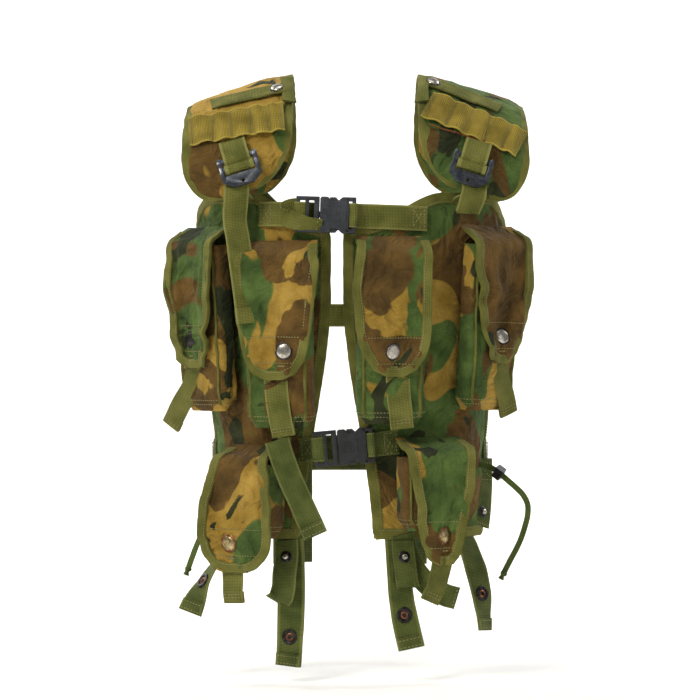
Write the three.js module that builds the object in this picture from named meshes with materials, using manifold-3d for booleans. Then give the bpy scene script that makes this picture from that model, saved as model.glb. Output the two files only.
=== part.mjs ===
// Load-bearing vest: two front panels with pouches, padded shoulder straps, two side-release
// closures, belt straps and a webbing harness across the back.
// Millimetres, +Z up, the front faces -Y, +X is to the right of someone looking at the front.
// The origin lies on the wearer's body axis, in the middle of the chest.
import * as THREE from "three";
import { mergeVertices } from "three/addons/utils/BufferGeometryUtils.js";
import Module from "manifold-3d";

const wasm = await Module();
wasm.setup();

// The wearer's torso that the vest is cut for, as half width and half depth at each height.
const torsoExponent = 2.3;
const torsoLevels = [
  { z: -320, halfWidth: 150, halfDepth: 112 },
  { z: -200, halfWidth: 140, halfDepth: 100 },
  { z: -110, halfWidth: 138, halfDepth: 97 },
  { z: 0, halfWidth: 146, halfDepth: 106 },
  { z: 110, halfWidth: 158, halfDepth: 114 },
  { z: 200, halfWidth: 160, halfDepth: 108 },
];

// Clearances
const sewnGap = 0.3;
const runningGap = 0.6;

// Front panels
const panelThickness = 3;
const panelTop = 158;
const panelInnerTop = 122;
const panelBottom = -190;
const panelOuterRise = 40;
const panelOuterAngle = 1.42;
const closureCentre = -13;
const closureGap = 14;
const closureFlare = 30;

// Webbing
const webWidth = 25;
const webThickness = 1.8;
const harnessWidth = 44;

// Pouches and their flaps
const flapThickness = 2.2;
const flapStandOff = 1.4;
const flapHingeRise = 18;
const tabWidth = 22;
const magPouch = { width: 68, height: 168, depth: 26, wall: 2, flapWidth: 72 };
const magFlap = { length: 137, tab: 56, capRise: 30, capRadius: 8 };
const grenadePocket = { width: 72, height: 74, depth: 36, wall: 2, flapWidth: 80 };
const grenadeFlap = { length: 124, tab: 30, capRise: 28, capRadius: 8 };
const magPouches = [
  { name: "inner_L", x: -64, bottom: -76 },
  { name: "outer_L", x: -127, bottom: -60 },
  { name: "inner_R", x: 38, bottom: -72 },
  { name: "outer_R", x: 122, bottom: -59 },
];
const grenadePockets = [
  { name: "L", x: -92, bottom: -189 },
  { name: "R", x: 76, bottom: -181 },
];

// Shoulder pads
const padThickness = 11;
const padHalfWidth = 56;
const padRound = 0.15;
const padSlope = 0.3;
const pads = [
  {
    side: "L",
    sign: -1,
    x: -113,
    sewnX: -106,
    tailWidth: 20,
    tail: [
      { at: [-114, -123, 146], across: [0.95, 0.2, 0.2] },
      { at: [-114, -123, 132], across: [0.7, 0.6, 0] },
      { at: [-113, -122, 116], across: [0.5, 0.87, 0] },
      { at: [-113, -121, 84], across: [0.5, 0.87, 0] },
      { at: [-112, -119, 54], across: [0.5, 0.87, 0] },
      { at: [-112, -118, 27], across: [0.5, 0.87, 0] },
    ],
  },
  {
    side: "R",
    sign: 1,
    x: 124,
    sewnX: 112,
    tailWidth: 25,
    tail: [
      { at: [122, -119, 150], across: [0.98, 0, -0.2] },
      { at: [118, -112, 138], across: [0.95, 0.2, 0] },
    ],
  },
];
const padArch = [
  [-112, 157],
  [-110, 190],
  [-98, 224],
  [-66, 254],
  [-20, 268],
  [28, 262],
  [64, 238],
  [88, 204],
  [100, 166],
];
const padWebWidth = 36;
const padWebHeight = 224;
const keeperWidth = 19;
const keeperRoot = 26;
const keeperLength = 78;
const keeperHeight = 250;
const keeperCapInset = 9;
const keeperCapRadius = 7;
const adjusterBend = 1.7;
const ladder = { width: 40, height: 31, thickness: 2.4, bar: 4, lip: 9, top: 191 };

// Side-release buckles
const buckle = {
  height: 36,
  thickness: 11,
  wall: 2,
  socketLength: 36,
  plugLength: 24,
  prongLength: 20,
  prongWidth: 4.5,
  bar: 4,
};
const closures = [
  { name: "chest", x: -30, z: 135, tilt: -0.03, webEndL: -90, webEndR: 74 },
  { name: "waist", x: -12, z: -98, tilt: 0.09, webEndL: -48, webEndR: 44 },
];

// Belt straps that hang below the panels
const beltStraps = [
  { name: "inner_L", x: -60, foot: [-62, -102, -318] },
  { name: "outer_L", x: -116, foot: [-162, -88, -266] },
  { name: "inner_R", x: 48, foot: [62, -106, -300] },
  { name: "outer_R", x: 116, foot: [136, -88, -284] },
];
const beltSnapRadius = 7;
const beltSnapRise = 30;

// Back harness
const backStrapX = 62;
const backStrapFoot = -232;
const crossWebs = [
  { name: "upper", z: 38, width: 25 },
  { name: "lower", z: -112, width: 38 },
];

// Side tapes, thin tapes that hang free at the waist, with a slider on each.
const tapeWidth = 6;
const sliderSize = { width: 12, height: 9, thickness: 9 };
const tapes = [
  {
    side: "R",
    slider: 2,
    points: [
      [134.2, -42.2, -118],
      [145, -46, -121],
      [153, -49, -126],
      [161, -52, -133],
      [169, -55, -140],
      [177, -57, -148],
      [182, -59, -158],
      [182, -60, -169],
      [179, -61, -181],
      [175, -62, -193],
      [170, -62, -204],
      [164, -62, -215],
      [157, -62, -229],
    ],
  },
  {
    side: "L",
    slider: 1,
    points: [
      [-135.3, -42.8, -150],
      [-142, -50, -157],
      [-145, -58, -164],
      [-148, -65, -172],
      [-150, -69, -181],
      [-153, -72, -191],
      [-157, -74, -201],
      [-161, -75, -212],
      [-165, -76, -223],
    ],
  },
];

// ---- helpers ----

const signedPower = (value, power) => Math.sign(value) * Math.abs(value) ** power;
const lerp = THREE.MathUtils.lerp;
const smooth = (value) => THREE.MathUtils.smoothstep(value, 0, 1);
const v3 = (x, y, z) => new THREE.Vector3(x, y, z);

function torsoSize(z) {
  const last = torsoLevels.length - 2;
  let i = torsoLevels.findIndex((level, k) => k > 0 && z <= level.z) - 1;
  if (i < 0) i = z < torsoLevels[0].z ? 0 : last;
  const low = torsoLevels[i];
  const high = torsoLevels[i + 1];
  const t = THREE.MathUtils.clamp((z - low.z) / (high.z - low.z), 0, 1);
  return [lerp(low.halfWidth, high.halfWidth, t), lerp(low.halfDepth, high.halfDepth, t)];
}

// The outward direction of the torso at an angle from the front centre towards +X.
function torsoNormal(angle, z) {
  const [a, b] = torsoSize(z);
  const power = 2 - 2 / torsoExponent;
  return v3(signedPower(Math.sin(angle), power) / a, -signedPower(Math.cos(angle), power) / b, 0)
    .normalize();
}

function torsoPoint(angle, z, out) {
  const [a, b] = torsoSize(z);
  const power = 2 / torsoExponent;
  const x = a * signedPower(Math.sin(angle), power);
  const y = -b * signedPower(Math.cos(angle), power);
  return v3(x, y, z).addScaledVector(torsoNormal(angle, z), out);
}

function angleAt(x, z) {
  const ratio = THREE.MathUtils.clamp(x / torsoSize(z)[0], -0.999, 0.999);
  return Math.asin(signedPower(ratio, torsoExponent / 2));
}

// Merges shared corners, drops empty triangles and faces the surface outwards.
function closed(geometry) {
  geometry.deleteAttribute("normal");
  geometry.deleteAttribute("uv");
  const merged = mergeVertices(geometry, 1e-3);
  const index = merged.index.array;
  const kept = [];
  for (let i = 0; i < index.length; i += 3) {
    const [a, b, c] = [index[i], index[i + 1], index[i + 2]];
    if (a !== b && b !== c && c !== a) kept.push(a, b, c);
  }
  const corner = (i) => v3().fromBufferAttribute(merged.attributes.position, i);
  let volume = 0;
  for (let i = 0; i < kept.length; i += 3) {
    volume += corner(kept[i]).dot(corner(kept[i + 1]).cross(corner(kept[i + 2])));
  }
  if (volume < 0) kept.reverse();
  merged.setIndex(kept);
  return merged;
}

// A sheet with thickness: place(u, v, w) gives a point for u across, v up and w from back to front.
function sheet(columns, rows, place) {
  const geometry = new THREE.BoxGeometry(1, 1, 1, columns, rows, 1);
  const position = geometry.attributes.position;
  for (let i = 0; i < position.count; i++) {
    const [u, v, w] = [position.getX(i) + 0.5, position.getY(i) + 0.5, position.getZ(i) + 0.5];
    const p = place(u, v, w);
    position.setXYZ(i, p.x, p.y, p.z);
  }
  return closed(geometry);
}

// A flat strap along stations, each with its centre, its direction across and its outward normal.
function strap(stations, width, thickness = webThickness, rows = 14, endWidth = width) {
  const centres = new THREE.CatmullRomCurve3(stations.map((s) => s.at), false, "centripetal");
  const across = new THREE.CatmullRomCurve3(stations.map((s) => s.across), false, "catmullrom");
  return sheet(1, rows, (u, v, w) => {
    const at = centres.getPoint(v);
    const side = across.getPoint(v).normalize();
    const normal = side.clone().cross(centres.getTangent(v)).normalize();
    const half = lerp(width, endWidth, v);
    return at.addScaledVector(side, (u - 0.5) * half).addScaledVector(normal, (w - 0.5) * thickness);
  });
}

function toManifold(geometry) {
  const { position } = geometry.attributes;
  return new wasm.Manifold(
    new wasm.Mesh({
      numProp: 3,
      vertProperties: new Float32Array(position.array),
      triVerts: new Uint32Array(geometry.index.array),
    }),
  );
}

function fromManifold(solid) {
  const mesh = solid.getMesh();
  const geometry = new THREE.BufferGeometry();
  geometry.setAttribute("position", new THREE.BufferAttribute(mesh.vertProperties, 3));
  geometry.setIndex(new THREE.BufferAttribute(mesh.triVerts, 1));
  return geometry;
}

// A box given by its lowest and highest corners.
function box(low, high) {
  const size = high.map((value, i) => value - low[i]);
  const middle = high.map((value, i) => (value + low[i]) / 2);
  return closed(new THREE.BoxGeometry(...size).translate(...middle));
}

function cut(whole, tools) {
  return fromManifold(tools.reduce((solid, tool) => solid.subtract(toManifold(tool)), toManifold(whole)));
}

function join(pieces) {
  return fromManifold(pieces.map(toManifold).reduce((solid, piece) => solid.add(piece)));
}

// ---- materials ----

const colour = (hex, roughness, metalness = 0) =>
  new THREE.MeshStandardMaterial({ color: hex, roughness, metalness });
const materials = {
  camouflage: colour(0x6b6a38, 0.95),
  webbing: colour(0x5d6a2f, 0.95),
  padWebbing: colour(0x8a7d2a, 0.95),
  binding: colour(0x6d7036, 0.95),
  steel: colour(0x53565c, 0.45, 0.9),
  snap: colour(0xa8a294, 0.35, 1),
  nylon: colour(0x2c2e33, 0.5),
  tape: colour(0x4f5f28, 0.95),
};

const vest = new THREE.Group();

function add(name, geometry, material, parent = vest) {
  const mesh = new THREE.Mesh(geometry, materials[material]);
  mesh.name = name;
  parent.add(mesh);
  return mesh;
}

// ---- front panels ----

function panelInnerX(sign, z) {
  const flare = closureFlare * smooth((60 - z) / 260);
  return closureCentre + sign * (closureGap / 2 + flare);
}

function panelHeight(across, v) {
  const shoulderRise = smooth(across / 0.42);
  const armDrop = 24 * smooth((across - 0.72) / 0.28);
  const top = lerp(panelInnerTop, panelTop, shoulderRise) - armDrop;
  const bottom = panelBottom + panelOuterRise * smooth((across - 0.8) / 0.2);
  return lerp(bottom, top, v);
}

function frontPanel(sign) {
  return sheet(14, 12, (u, v, w) => {
    const across = sign > 0 ? u : 1 - u;
    const z = panelHeight(across, v);
    const angle = lerp(angleAt(panelInnerX(sign, z), z), sign * panelOuterAngle, across);
    return torsoPoint(angle, z, w * panelThickness);
  });
}

add("front_panel_L", frontPanel(-1), "camouflage");
add("front_panel_R", frontPanel(1), "camouflage");

// ---- pouches ----

// A group standing on the panel: local X along the panel, local Z up it, local -Y outwards.
function seat(x, bottom, height, halfWidth) {
  const middle = bottom + height / 2;
  const normal = torsoNormal(angleAt(x, middle), middle);
  const low = torsoPoint(angleAt(x, bottom), bottom, 0);
  const high = torsoPoint(angleAt(x, bottom + height), bottom + height, 0);
  const up = high.clone().sub(low);
  up.addScaledVector(v3(normal.y, -normal.x, 0), -up.dot(v3(normal.y, -normal.x, 0))).normalize();
  const acrossAxis = v3(-normal.y, normal.x, 0);
  const inwards = up.clone().cross(acrossAxis);
  let out = -Infinity;
  for (let i = -4; i <= 4; i++) {
    for (let k = 0; k <= 12; k++) {
      const z = bottom + (height * k) / 12;
      const near = angleAt(x + ((halfWidth * i) / 4) * acrossAxis.x, z);
      const p = torsoPoint(near, z, panelThickness).sub(low);
      if (Math.abs(p.dot(acrossAxis)) <= halfWidth) out = Math.max(out, -p.dot(inwards));
    }
  }
  const group = new THREE.Group();
  group.matrixAutoUpdate = false;
  group.matrix.makeBasis(acrossAxis, inwards, up);
  group.matrix.setPosition(low.addScaledVector(inwards, -out - sewnGap));
  vest.add(group);
  return group;
}

function pouchShell({ width, height, depth, wall }) {
  const corner = 4;
  const profile = [
    [0, 0],
    [1, 0],
    [1, corner * 2],
    [1, height / 2],
    [1, height],
    [0.5, height],
    [0.5, height / 2],
    [0.5, wall],
    [0, wall],
  ].map(([r, y]) => new THREE.Vector2(r, y));
  const geometry = new THREE.LatheGeometry(profile, 20);
  const position = geometry.attributes.position;
  for (let i = 0; i < position.count; i++) {
    const [x, y, z] = [position.getX(i), position.getY(i), position.getZ(i)];
    const r = Math.hypot(x, z);
    const turn = Math.atan2(x, z);
    const inset = r > 0.75 ? (y < 1 ? 3 : 0) : wall;
    const reach = r < 0.01 ? 0 : 1;
    const px = reach * signedPower(Math.sin(turn), 0.5) * (width / 2 - inset);
    const py = reach * signedPower(Math.cos(turn), 0.5) * (depth / 2 - inset);
    position.setXYZ(i, px, -depth / 2 - py, y);
  }
  return closed(geometry);
}

// The flap is sewn above the mouth, crosses it, and hangs in front, narrowing to its pull tab.
function flapSheet(pouch, flap) {
  const front = pouch.depth + flapStandOff + flapThickness / 2;
  const hinge = pouch.height + flapHingeRise;
  const centre = flapThickness / 2 + 0.1;
  const path = new THREE.CatmullRomCurve3(
    [
      v3(0, -front, hinge - flap.length - flap.tab),
      v3(0, -front, hinge - flap.length),
      v3(0, -front, hinge - flap.length * 0.55),
      v3(0, -front, pouch.height - 12),
      v3(0, -front - 0.3, pouch.height - 1),
      v3(0, -front + 2, pouch.height + 4.5),
      v3(0, -front * 0.6, pouch.height + 10),
      v3(0, -centre, hinge),
    ],
    false,
    "centripetal",
  );
  const length = path.getLength();
  const roundLength = 40;
  const halfAt = (run) => {
    if (run < flap.tab) return tabWidth / 2;
    const t = THREE.MathUtils.clamp((run - flap.tab) / roundLength, 0, 1);
    return Math.max(tabWidth / 2, (pouch.flapWidth / 2) * Math.sqrt(1 - (1 - t) ** 2));
  };
  const runs = [0, flap.tab / 2, flap.tab, flap.tab + 3, flap.tab + 10, flap.tab + 22];
  while (runs.length < 16) runs.push(lerp(flap.tab + 40, length, (runs.length - 6) / 9));
  return sheet(4, 15, (u, v, w) => {
    const run = runs[Math.round(v * 15)];
    const at = path.getPointAt(Math.min(run / length, 1));
    const tangent = path.getTangentAt(Math.min(run / length, 1));
    const normal = v3(1, 0, 0).cross(tangent).normalize();
    at.x = (u - 0.5) * 2 * halfAt(run);
    return at.addScaledVector(normal, (w - 0.5) * flapThickness);
  });
}

// A domed snap cap facing local -Y.
function snapCap(radius, height) {
  const profile = [
    [0, 0],
    [radius, 0],
    [radius, height * 0.45],
    [radius * 0.8, height * 0.9],
    [radius * 0.35, height],
    [0, height],
  ].map(([r, y]) => new THREE.Vector2(r, y));
  return closed(new THREE.LatheGeometry(profile, 16).rotateX(Math.PI));
}

function pouchSet(kind, spec, pouch, flap) {
  const group = seat(spec.x, spec.bottom, pouch.height + flapHingeRise, pouch.flapWidth / 2);
  add(`${kind}_${spec.name}`, pouchShell(pouch), "camouflage", group);
  const flapName = kind === "mag_pouch" ? "mag_flap" : "grenade_flap";
  add(`${flapName}_${spec.name}`, flapSheet(pouch, flap), "camouflage", group);
  const cap = snapCap(flap.capRadius, 3);
  const out = pouch.depth + flapStandOff + flapThickness + sewnGap;
  cap.translate(0, -out, pouch.height + flapHingeRise - flap.length + flap.capRise);
  add(`${flapName}_cap_${spec.name}`, cap, "snap", group);
}

magPouches.forEach((spec) => pouchSet("mag_pouch", spec, magPouch, magFlap));
grenadePockets.forEach((spec) => pouchSet("grenade_pocket", spec, grenadePocket, grenadeFlap));

// ---- shoulder pads ----

const arch = new THREE.CatmullRomCurve3(padArch.map(([y, z]) => v3(0, y, z)), false, "centripetal");

// A place on a pad: across in millimetres towards +X, v along the arch from front to back.
function padPoint(pad, across, v, out) {
  const tilt = padSlope;
  const lateral = v3(Math.cos(tilt), 0, -pad.sign * Math.sin(tilt));
  const tangent = arch.getTangentAt(v);
  const normal = lateral.clone().cross(tangent).normalize();
  const at = arch.getPointAt(v).add(v3(pad.x, 0, 0));
  at.addScaledVector(lateral, across).addScaledVector(normal, out);
  return { at, across: lateral, normal, up: normal.clone().cross(lateral) };
}

// The share of the arch's length at which its front leg reaches a height.
function archAt(z) {
  let v = 0;
  while (arch.getPointAt(v).z < z) v += 0.0005;
  return v;
}

function padHalfWidthAt(v) {
  const nearEnd = Math.min(v, 1 - v) / padRound;
  const t = THREE.MathUtils.clamp(nearEnd, 0, 1);
  return padHalfWidth * (0.35 + 0.65 * Math.sqrt(1 - (1 - t) ** 2));
}

const padStations = [0, 0.015, 0.04, 0.08, 0.15];
const padRows = 20;

function padSheet(pad) {
  const middleRows = padRows - 2 * (padStations.length - 1);
  const stations = [...padStations];
  for (let i = 1; i < middleRows; i++) {
    stations.push(lerp(padStations.at(-1), 1 - padStations.at(-1), i / middleRows));
  }
  padStations.toReversed().forEach((v) => stations.push(1 - v));
  return sheet(6, padRows, (u, v, w) => {
    const along = stations[Math.round(v * padRows)];
    return padPoint(pad, (u - 0.5) * 2 * padHalfWidthAt(along), along, (w - 0.5) * padThickness).at;
  });
}

// A web sewn across the front of a pad, between two distances across and at a height.
function padWeb(pad, from, to, z, width, out) {
  const v = archAt(z);
  const half = width / 2 / arch.getLength();
  return sheet(8, 2, (u, vv, w) =>
    padPoint(pad, lerp(from, to, u), v + lerp(-half, half, vv), out + w * webThickness).at,
  );
}

function ladderBuckle() {
  const { width, height, thickness, bar, lip } = ladder;
  const plate = box([-width / 2, -thickness, -height], [width / 2, 0, 0]);
  const inner = width / 2 - bar;
  const slot = (height - lip - 3 * bar) / 2;
  const tools = [0, 1].map((i) => {
    const high = -bar - i * (slot + bar);
    return box([-inner, -thickness - 1, high - slot], [inner, 1, high]);
  });
  const hole = new THREE.CylinderGeometry(1.8, 1.8, thickness + 2, 12);
  tools.push(closed(hole.translate(0, -thickness / 2, -height + lip / 2)));
  const trims = [-1, 1].map((side) => {
    const corner = new THREE.Shape();
    corner.moveTo(side * (width / 2 + 1), -height - 1);
    corner.lineTo(side * (width / 2 + 1), -height + lip - 1);
    corner.lineTo(side * 9, -height - 1);
    const wedge = new THREE.ExtrudeGeometry(corner, { depth: thickness + 2, bevelEnabled: false });
    return closed(wedge.rotateX(Math.PI / 2).translate(0, 1, 0));
  });
  return cut(plate, [...tools, ...trims]);
}

// A group whose local X, Y and Z are a place's across, inward and upward directions.
function frameAt({ at, across, normal, up }) {
  const group = new THREE.Group();
  group.matrixAutoUpdate = false;
  group.matrix.makeBasis(across, normal.clone().negate(), up);
  group.matrix.setPosition(at);
  vest.add(group);
  return group;
}

// The adjuster strap: sewn to the panel, up behind the buckle, over and down to its free end.
function adjusterStrap(pad, surface) {
  const fold = archAt(ladder.top - ladder.bar - 5);
  const rear = surface + sewnGap + webThickness / 2;
  const front = rear + 2 * adjusterBend;
  const spot = (v, out) => {
    const { at, across } = padPoint(pad, 0, v, out);
    return { at, across };
  };
  const bendHeight = adjusterBend / arch.getLength();
  const onPanel = (z, lift) => {
    const angle = angleAt(pad.sewnX, z);
    const normal = torsoNormal(angle, z);
    const at = torsoPoint(angle, z, panelThickness + sewnGap + webThickness / 2 + lift);
    return { at, across: v3(-normal.y, normal.x, 0) };
  };
  const belowPad = archAt(padArch[0][1] + 2);
  return strap(
    [
      onPanel(panelTop - 20, 0.5),
      onPanel(panelTop - 8, 1.6),
      { at: spot(0, rear + 2.4).at.add(v3(0, 0, -3)), across: spot(0, 0).across },
      spot(belowPad, rear + 1.6),
      spot(lerp(belowPad, fold, 0.4), rear),
      spot(fold, rear),
      spot(fold + bendHeight * 0.7, rear + adjusterBend * 0.3),
      spot(fold + bendHeight, rear + adjusterBend),
      spot(fold + bendHeight * 0.7, front - adjusterBend * 0.3),
      spot(fold, front),
      spot(lerp(belowPad, fold, 0.4), front),
      spot(belowPad, front + 2),
      ...pad.tail.map(({ at, across }) => ({ at: v3(...at), across: v3(...across) })),
    ],
    webWidth,
    webThickness,
    4 * (11 + pad.tail.length),
    pad.tailWidth,
  );
}

for (const pad of pads) {
  const { side, sign } = pad;
  add(`shoulder_pad_${side}`, padSheet(pad), "camouflage");
  const surface = padThickness / 2;
  const reach = padHalfWidth - 8;
  const webOut = surface + sewnGap;
  add(
    `pad_webbing_${side}`,
    padWeb(pad, -reach, reach, padWebHeight, padWebWidth, webOut),
    "padWebbing",
  );
  const keeperStart = sign * keeperRoot;
  const keeperEnd = keeperStart - sign * keeperLength;
  const keeperOut = webOut;
  add(
    `keeper_strap_${side}`,
    padWeb(
      pad,
      Math.min(keeperStart, keeperEnd),
      Math.max(keeperStart, keeperEnd),
      keeperHeight,
      keeperWidth,
      keeperOut,
    ),
    "webbing",
  );
  const capPlace = padPoint(
    pad,
    keeperEnd + sign * keeperCapInset,
    archAt(keeperHeight),
    keeperOut + webThickness + sewnGap,
  );
  add(`keeper_cap_${side}`, snapCap(keeperCapRadius, 3), "snap", frameAt(capPlace));
  const layers = sewnGap + webThickness + 2 * adjusterBend;
  const buckleGroup = frameAt(padPoint(pad, 0, archAt(ladder.top), surface + layers + sewnGap));
  add(`ladder_buckle_${side}`, ladderBuckle(), "steel", buckleGroup);
  add(`adjuster_strap_${side}`, adjusterStrap(pad, surface), "webbing");
}

// ---- side-release closures ----

function plugFrame() {
  const { height, plugLength, bar } = buckle;
  const deep = buckle.thickness - 2 * buckle.wall - 2 * runningGap;
  const y = -buckle.wall - runningGap;
  const plate = box([-plugLength, y - deep, -height / 2], [-runningGap, y, height / 2]);
  const windowWidth = (plugLength - 3 * bar - 2) / 2;
  const windows = [0, 1].map((i) => {
    const left = -plugLength + bar + i * (windowWidth + bar);
    return box([left, -20, -height / 2 + bar], [left + windowWidth, 20, height / 2 - bar]);
  });
  const tongue = box([-2, y - deep + 1, -3], [buckle.prongLength - 5, y - 1, 3]);
  return join([cut(plate, windows), tongue]);
}

// One of the two sprung arms, its root at the plug and its head out at the side.
function prong(sign) {
  const { height, prongLength, prongWidth } = buckle;
  const outer = height / 2 - 3;
  const outline = new THREE.Shape();
  outline.moveTo(0, outer);
  outline.lineTo(prongLength * 0.45, outer);
  outline.lineTo(prongLength * 0.5, outer + 2.6);
  outline.lineTo(prongLength * 0.78, outer + 2.6);
  outline.lineTo(prongLength, outer - 1.5);
  outline.lineTo(prongLength, outer - prongWidth);
  outline.lineTo(0, outer - prongWidth);
  const deep = buckle.thickness - 2 * buckle.wall - 2 * runningGap - 1;
  const arm = new THREE.ExtrudeGeometry(outline, { depth: deep, bevelEnabled: false });
  arm.rotateX(Math.PI / 2).translate(0, -buckle.wall - runningGap - 0.5, 0);
  if (sign < 0) arm.scale(1, 1, -1);
  return closed(arm);
}

function socketBody() {
  const { height, thickness, wall, socketLength, prongLength, bar } = buckle;
  const half = height / 2;
  const body = box([0, -thickness, -half], [socketLength, 0, half]);
  const mouth = box([-1, wall - thickness, -half - 1], [prongLength + 2, -wall, half + 1]);
  const slotLeft = socketLength - bar - 4;
  const slot = box([slotLeft, -20, -half + bar], [slotLeft + 4, 20, half - bar]);
  return cut(body, [mouth, slot]);
}

for (const closure of closures) {
  const { name, x, z, tilt } = closure;
  const lift = panelThickness + 2 * sewnGap + webThickness;
  const group = new THREE.Group();
  const reach = buckle.height / 2;
  const depth = Math.max(torsoSize(z - reach)[1], torsoSize(z)[1], torsoSize(z + reach)[1]);
  group.position.set(x, -depth - lift, z);
  group.rotation.y = -tilt;
  vest.add(group);
  group.updateMatrixWorld();
  add(`${name}_socket`, socketBody(), "nylon", group);
  add(`${name}_plug`, plugFrame(), "nylon", group);
  add(`${name}_prong_upper`, prong(1), "nylon", group);
  add(`${name}_prong_lower`, prong(-1), "nylon", group);
  const up = v3(0, 0, 1).transformDirection(group.matrixWorld);
  const behind = (along) => ({
    at: group.localToWorld(v3(along, sewnGap + webThickness / 2, 0)),
    across: up.clone(),
  });
  // The web leaves the buckle straight and settles onto the torso by its sewn end.
  const settling = (start, end) =>
    [0.15, 0.3, 0.5, 0.7, 0.85, 1].map((share) => {
      const px = x + lerp(start, end - x, share);
      const pz = z + (px - x) * tilt;
      const out = panelThickness + 2 * sewnGap + webThickness / 2;
      const onSurface = (height) => torsoPoint(angleAt(px, height), height, out);
      const at = onSurface(pz);
      at.y = lerp(behind(px - x).at.y, at.y, smooth(share));
      const lean = onSurface(pz + webWidth / 2).sub(onSurface(pz - webWidth / 2)).normalize();
      return { at, across: lean.add(up.clone().sub(v3(0, 0, 1))).normalize() };
    });
  const left = settling(-18, closure.webEndL).toReversed();
  left.push(behind(-16), behind(-4));
  const right = [behind(buckle.socketLength - 13), behind(buckle.socketLength + 3)];
  right.push(...settling(buckle.socketLength + 3, closure.webEndR));
  add(`${name}_web_L`, strap(left, webWidth), "webbing");
  add(`${name}_web_R`, strap(right, webWidth), "webbing");
}

// ---- belt straps ----

for (const spec of beltStraps) {
  const angle = angleAt(spec.x, panelBottom);
  const normal = torsoNormal(angle, panelBottom);
  const across = v3(-normal.y, normal.x, 0);
  const top = torsoPoint(angle, panelBottom - 3 * sewnGap, panelThickness / 2);
  const foot = v3(...spec.foot);
  const line = foot.clone().sub(top);
  const upward = line.clone().normalize().negate();
  const level = across.clone().addScaledVector(upward, -across.dot(upward)).normalize();
  const stations = [0, 0.35, 0.7, 1].map((share) => {
    const turned = share === 0 ? across : level;
    return { at: top.clone().addScaledVector(line, share), across: turned.clone() };
  });
  add(`belt_strap_${spec.name}`, strap(stations, webWidth, webThickness, 9), "webbing");
  const out = level.clone().cross(upward);
  const at = foot.clone().addScaledVector(upward, beltSnapRise);
  at.addScaledVector(out, webThickness / 2 + sewnGap);
  const place = frameAt({ at, across: level, normal: out, up: upward });
  add(`belt_snap_${spec.name}`, snapCap(beltSnapRadius, 2.4), "snap", place);
}

// ---- back harness ----

// A place on the wearer's back, out from the surface.
const onBack = (x, z, out) => torsoPoint(Math.PI - angleAt(x, z), z, out);

for (const pad of pads) {
  const surface = padThickness / 2 + sewnGap + webThickness / 2;
  const rows = [0.9, 0.95, 1].map(
    (v) => (offset, out) => padPoint(pad, offset, v, surface + out).at,
  );
  const backOut = sewnGap + webThickness / 2;
  [110, 75, 40, 0, -40, -80, -120, -160, -195, backStrapFoot].forEach((z) => {
    rows.push((offset, out) => onBack(pad.sign * backStrapX + offset, z, backOut + out));
  });
  const web = sheet(4, rows.length - 1, (u, v, w) =>
    rows[Math.round(v * (rows.length - 1))]((u - 0.5) * harnessWidth, (w - 0.5) * webThickness),
  );
  add(`back_strap_${pad.side}`, web, "webbing");
}

for (const { name, z, width } of crossWebs) {
  const start = panelOuterAngle - 0.12;
  const web = sheet(36, 1, (u, v, w) => {
    const angle = lerp(start, 2 * Math.PI - start, u);
    const out = panelThickness + sewnGap + w * webThickness;
    return torsoPoint(angle, z + (v - 0.5) * width, out);
  });
  add(`back_cross_${name}`, web, "webbing");
}

// ---- side tapes ----

function roundTube(curve, radius, steps) {
  const section = new THREE.Shape();
  section.absarc(0, 0, radius, 0, 2 * Math.PI);
  const settings = { steps, extrudePath: curve, bevelEnabled: false, curveSegments: 8 };
  return closed(new THREE.ExtrudeGeometry(section, settings));
}

function sliderRing(curve, share) {
  const { width, height, thickness } = sliderSize;
  const body = box([-width / 2, -thickness / 2, -height / 2], [width / 2, thickness / 2, height / 2]);
  const bore = new THREE.CylinderGeometry(1, 1, height + 2, 16).rotateX(Math.PI / 2);
  bore.scale(tapeWidth / 2 + runningGap, tapeWidth / 2 + runningGap, 1);
  const tangent = curve.getTangentAt(share);
  const turn = new THREE.Quaternion().setFromUnitVectors(v3(0, 0, 1), tangent);
  const ring = cut(body, [closed(bore)]);
  return ring.applyQuaternion(turn).translate(...curve.getPointAt(share).toArray());
}

for (const { side, slider, points } of tapes) {
  const curve = new THREE.CatmullRomCurve3(points.map((p) => v3(...p)), false, "centripetal");
  add(`side_tape_${side}`, roundTube(curve, tapeWidth / 2, points.length * 3), "tape");
  add(`tape_slider_${side}`, sliderRing(curve, slider / points.length), "nylon");
}

export default vest;
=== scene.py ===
# Woodland camouflage load-bearing vest: cloth, webbing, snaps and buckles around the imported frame.
import math
import bmesh
import bpy
from mathutils import Matrix, Vector, noise


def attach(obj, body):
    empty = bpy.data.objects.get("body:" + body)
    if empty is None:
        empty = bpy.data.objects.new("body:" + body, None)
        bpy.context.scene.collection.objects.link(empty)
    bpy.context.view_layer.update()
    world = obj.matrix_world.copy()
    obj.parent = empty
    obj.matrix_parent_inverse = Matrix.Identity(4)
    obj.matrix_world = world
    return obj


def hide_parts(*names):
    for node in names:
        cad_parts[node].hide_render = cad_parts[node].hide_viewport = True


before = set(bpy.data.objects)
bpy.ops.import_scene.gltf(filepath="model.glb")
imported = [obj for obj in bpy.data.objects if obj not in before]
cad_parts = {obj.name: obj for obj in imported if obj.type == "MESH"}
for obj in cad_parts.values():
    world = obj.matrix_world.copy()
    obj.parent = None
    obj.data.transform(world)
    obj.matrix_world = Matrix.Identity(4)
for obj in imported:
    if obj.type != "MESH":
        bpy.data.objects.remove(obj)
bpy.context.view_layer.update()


def linear(hexColour):
    channels = [int(hexColour[i:i + 2], 16) / 255 for i in (1, 3, 5)]
    return [c / 12.92 if c <= 0.04045 else ((c + 0.055) / 1.055) ** 2.4 for c in channels] + [1]


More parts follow.
